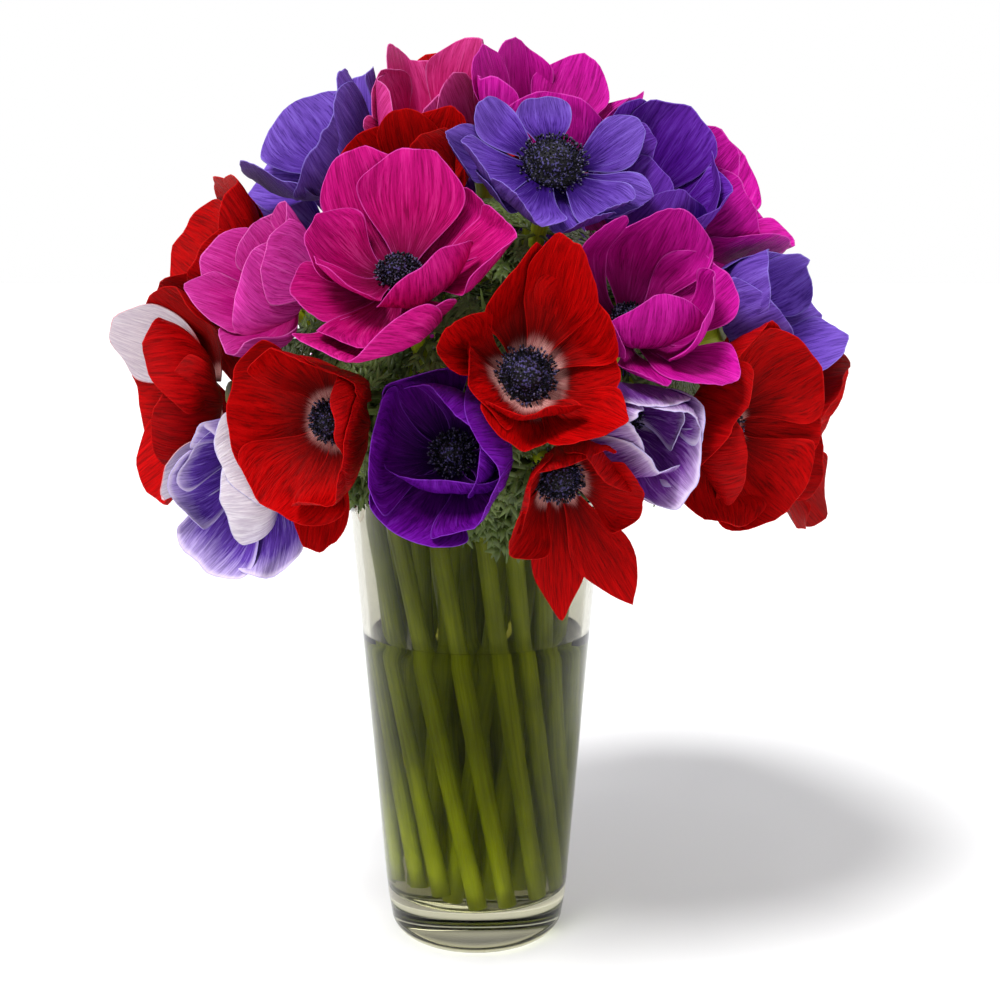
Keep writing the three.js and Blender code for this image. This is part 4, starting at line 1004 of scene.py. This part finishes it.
def frond(pile, base, along, side, length, rng, keep=True):
    """A finely cut leaf: a middle rib with side ribs that split into narrow lobes."""
    normal = unit(np.cross(side, along))
    width = 0.105 * length
    lobe(pile, base, along, side, length, width, rng.random(), keep)
    for share, size in ((0.16, 0.62), (0.34, 0.56), (0.52, 0.44), (0.7, 0.3)):
        for sign in (-1, 1):
            swing = math.radians(46 - 14 * share) * sign * rng.uniform(0.8, 1.2)
            out = unit(along * math.cos(swing) + side * math.sin(swing) + normal * rng.uniform(-0.2, 0.25))
            across = unit(np.cross(out, normal))
            start = base + along * length * share - normal * LEAF_DROOP * length * share**2
            reach = length * size * rng.uniform(0.8, 1.1)
            lobe(pile, start, out, across, reach, width * 0.9, rng.random(), keep)
            for part in (0.38, 0.66):
                for turn in (-1, 1):
                    fork = math.radians(34) * turn * rng.uniform(0.7, 1.3)
                    aim = unit(out * math.cos(fork) + across * math.sin(fork))
                    beside, root = unit(np.cross(aim, normal)), start + out * reach * part
                    lobe(pile, root, aim, beside, reach * 0.42, width * 0.6, rng.random(), keep)


def stem_piece(index):
    """A stem with the ruff of leaves under its bloom, and the fronds that hang lower on some."""
    bloom = BLOOMS[index]
    rng = np.random.default_rng(STEM_SEED + index)
    path = stem_path(index)
    steps = np.linalg.norm(np.diff(path, axis=0), axis=1)
    run = np.concatenate([[0], np.cumsum(steps)])
    total = run[-1]
    radii = STEM_RADIUS * (1.0 - 0.14 * smoothstep(run, total * 0.55, total - 12))
    radii *= 1 + 0.025 * np.sin(run / 17 + index)
    radii[-3:] = [STEM_RADIUS * 0.95, STEM_RADIUS * 1.15, STEM_RADIUS * 1.4]
    sides = 12
    pile = Pile()
    points, faces = tube(path, radii, sides)
    around = np.tile(np.abs(np.arange(sides) / sides * 2 - 1), len(path))
    pile.add(points, faces, stem=(around, np.repeat(run, sides), index * 1.7), leaf=(0, 0, 0))
    leaves = [whorl for whorl in WHORLS for _ in range(whorl[0])]
    for k, (count, drop, spread, size) in enumerate(leaves):
        at = int(np.searchsorted(run, total - drop - spread * rng.random()))
        base, way = path[at], unit(path[at] - path[at - 1])
        x, y = axes_along(way[None])
        turn = 2 * math.pi * (k + 0.5 * rng.random()) / count
        out = x[0] * math.cos(turn) + y[0] * math.sin(turn)
        along = unit(out + way * rng.uniform(0.1, 0.5))
        side = unit(np.cross(along, way))
        frond(pile, base + out * 1.5, along, side, size * rng.uniform(0.85, 1.15), rng)
    for drop, way, size in HANGING.get(bloom.name, []):
        base = path[int(np.searchsorted(run, total - drop))]
        along = unit(way)
        frond(pile, base + along * 2, along, unit(np.cross(along, FRONT)), size, rng, keep=False)
    pile.piece(f"green_{bloom.name}", GREEN, "stems", f"stem_{bloom.name}")


# vase and water
def vase_radius(z):
    return VASE_RADIUS_AT_FOOT + VASE_FLARE * z


def arc(centre_r, centre_z, radius, start, stop, steps):
    """Points on an arc of a profile, between two angles in degrees."""
    turn = np.radians(np.linspace(start, stop, steps))
    return [(centre_r + radius * math.cos(a), centre_z + radius * math.sin(a)) for a in turn]


def round_piece(name, material, slot, profile, node):
    pile = Pile()
    pile.add(*revolve(profile, 128))
    pile.piece(name, material, slot, node)


def vase_piece():
    """The glass: a hollowed foot, a tapered wall with a round rim, and a thick base inside."""
    rim_z = VASE_HEIGHT - WALL / 2
    punt = [(0, 1.8), (10, 1.7), (18, 1.2), (22.5, 0.4), (24, 0.0)]
    foot = arc(vase_radius(0) - FOOT_ROUNDING, FOOT_ROUNDING, FOOT_ROUNDING, -90, 0, 12)
    outer = [(vase_radius(z), z) for z in np.linspace(FOOT_ROUNDING, rim_z, 24)[1:-1]]
    rim = arc(vase_radius(VASE_HEIGHT) - WALL / 2, rim_z, WALL / 2, 0, 180, 12)
    inner = [(vase_radius(z) - WALL, z) for z in np.linspace(rim_z, GLASS_BASE + 6, 24)[1:-1]]
    corner_r = vase_radius(GLASS_BASE) - WALL - INNER_ROUNDING
    corner = arc(corner_r, GLASS_BASE + INNER_ROUNDING, INNER_ROUNDING, 0, -90, 8)
    floor = [(18, GLASS_BASE), (9, GLASS_BASE + 0.2), (0, GLASS_BASE + 0.3)]
    profile = [*punt, *foot, *outer, *rim, *inner, *corner, *floor]
    round_piece("glass_vase", GLASS, "glass", profile, "vase")


def water_piece():
    """Water up to the glass, a hair past its inner face so that no air lies between them."""
    overlap, climb = 0.12, 1.2
    def radius(z):
        return vase_radius(z) - WALL + overlap
    base = [(0, GLASS_BASE + 0.2), (9, GLASS_BASE + 0.1), (18, GLASS_BASE - overlap)]
    corner_r = radius(GLASS_BASE) - INNER_ROUNDING
    corner = arc(corner_r, GLASS_BASE + INNER_ROUNDING - overlap, INNER_ROUNDING, -90, 0, 8)
    wall = [(radius(z), z) for z in np.linspace(GLASS_BASE + 6, WATER_LEVEL + climb, 16)]
    top_r = radius(WATER_LEVEL)
    from_glass = (0.35, 0.8, 1.4, 2.2, 3.4, 5.0)
    meniscus = [(top_r - x, WATER_LEVEL + climb * math.exp(-x / 0.9)) for x in from_glass]
    profile = [*base, *corner, *wall, *meniscus, (20, WATER_LEVEL), (0, WATER_LEVEL)]
    round_piece("still_water", WATER, "water", profile, "water")


# the whole
for number in range(len(BLOOMS)):
    petals_piece(number)
    centre_piece(number)
    stem_piece(number)
vase_piece()
water_piece()


# floor, light and camera
def link(name, data):
    """A new object in the scene."""
    made = bpy.data.objects.new(name, data)
    bpy.context.scene.collection.objects.link(made)
    return made


def make_floor():
    """A wide, nearly white floor."""
    n = Nodes("pale_floor")
    colour = n.mix(n.place_noise(3.0, 2.0), linear(250, 250, 250), linear(253, 253, 253))
    mesh = bpy.data.meshes.new("floor")
    corners = [(FLOOR_HALF * x, FLOOR_HALF * y, 0) for x, y in ((-1, -1), (1, -1), (1, 1), (-1, 1))]
    mesh.from_pydata(corners, [], [(0, 1, 2, 3)])
    mesh.materials.append(n.finish(n.principled(Base_Color=colour, Roughness=0.9)))
    floor = link("floor", mesh)


def add_sun(name, direction, strength, angle):
    """A broad soft lamp that shines along the given direction."""
    lamp = bpy.data.lights.new(name, "SUN")
    lamp.energy, lamp.angle = strength, math.radians(angle)
    x, y, z = direction
    link(name, lamp).rotation_euler = (math.atan2(math.hypot(x, y), -z), 0, math.atan2(y, x) - math.pi / 2)


def make_camera():
    data = bpy.data.cameras.new("camera")
    data.sensor_width, data.lens, data.clip_start, data.clip_end = 36, CAMERA_LENS, 0.01, 50
    camera = link("camera", data)
    camera.location = CAMERA_AT
    camera.rotation_euler = (math.radians(90 - CAMERA_DOWN), 0, 0)
    bpy.context.scene.camera = camera


def make_world():
    """A sky that is white near the horizon and grey overhead."""
    world = bpy.data.worlds.new("studio")
    world.use_nodes = True
    tree = world.node_tree
    where = tree.nodes.new("ShaderNodeTexCoord")
    split = tree.nodes.new("ShaderNodeSeparateXYZ")
    ramp = tree.nodes.new("ShaderNodeValToRGB")
    tree.links.new(where.outputs["Generated"], split.inputs[0])
    tree.links.new(split.outputs["Z"], ramp.inputs["Fac"])
    tree.links.new(ramp.outputs["Color"], tree.nodes["Background"].inputs[0])
    low, high = ramp.color_ramp.elements
    low.position, low.color = 0.16, HORIZON
    high.position, high.color = 0.5, ZENITH
    tree.nodes["Background"].inputs[1].default_value = 1.0
    scene = bpy.context.scene
    scene.world = world
    scene.view_settings.view_transform = "Standard"
    scene.view_settings.look = "None"


make_floor()
make_world()
make_camera()
add_sun("key", (0.5, 0.7, -1.25), 3.1, 20)
add_sun("back", (-0.5, -0.8, -1.1), 0.8, 40)
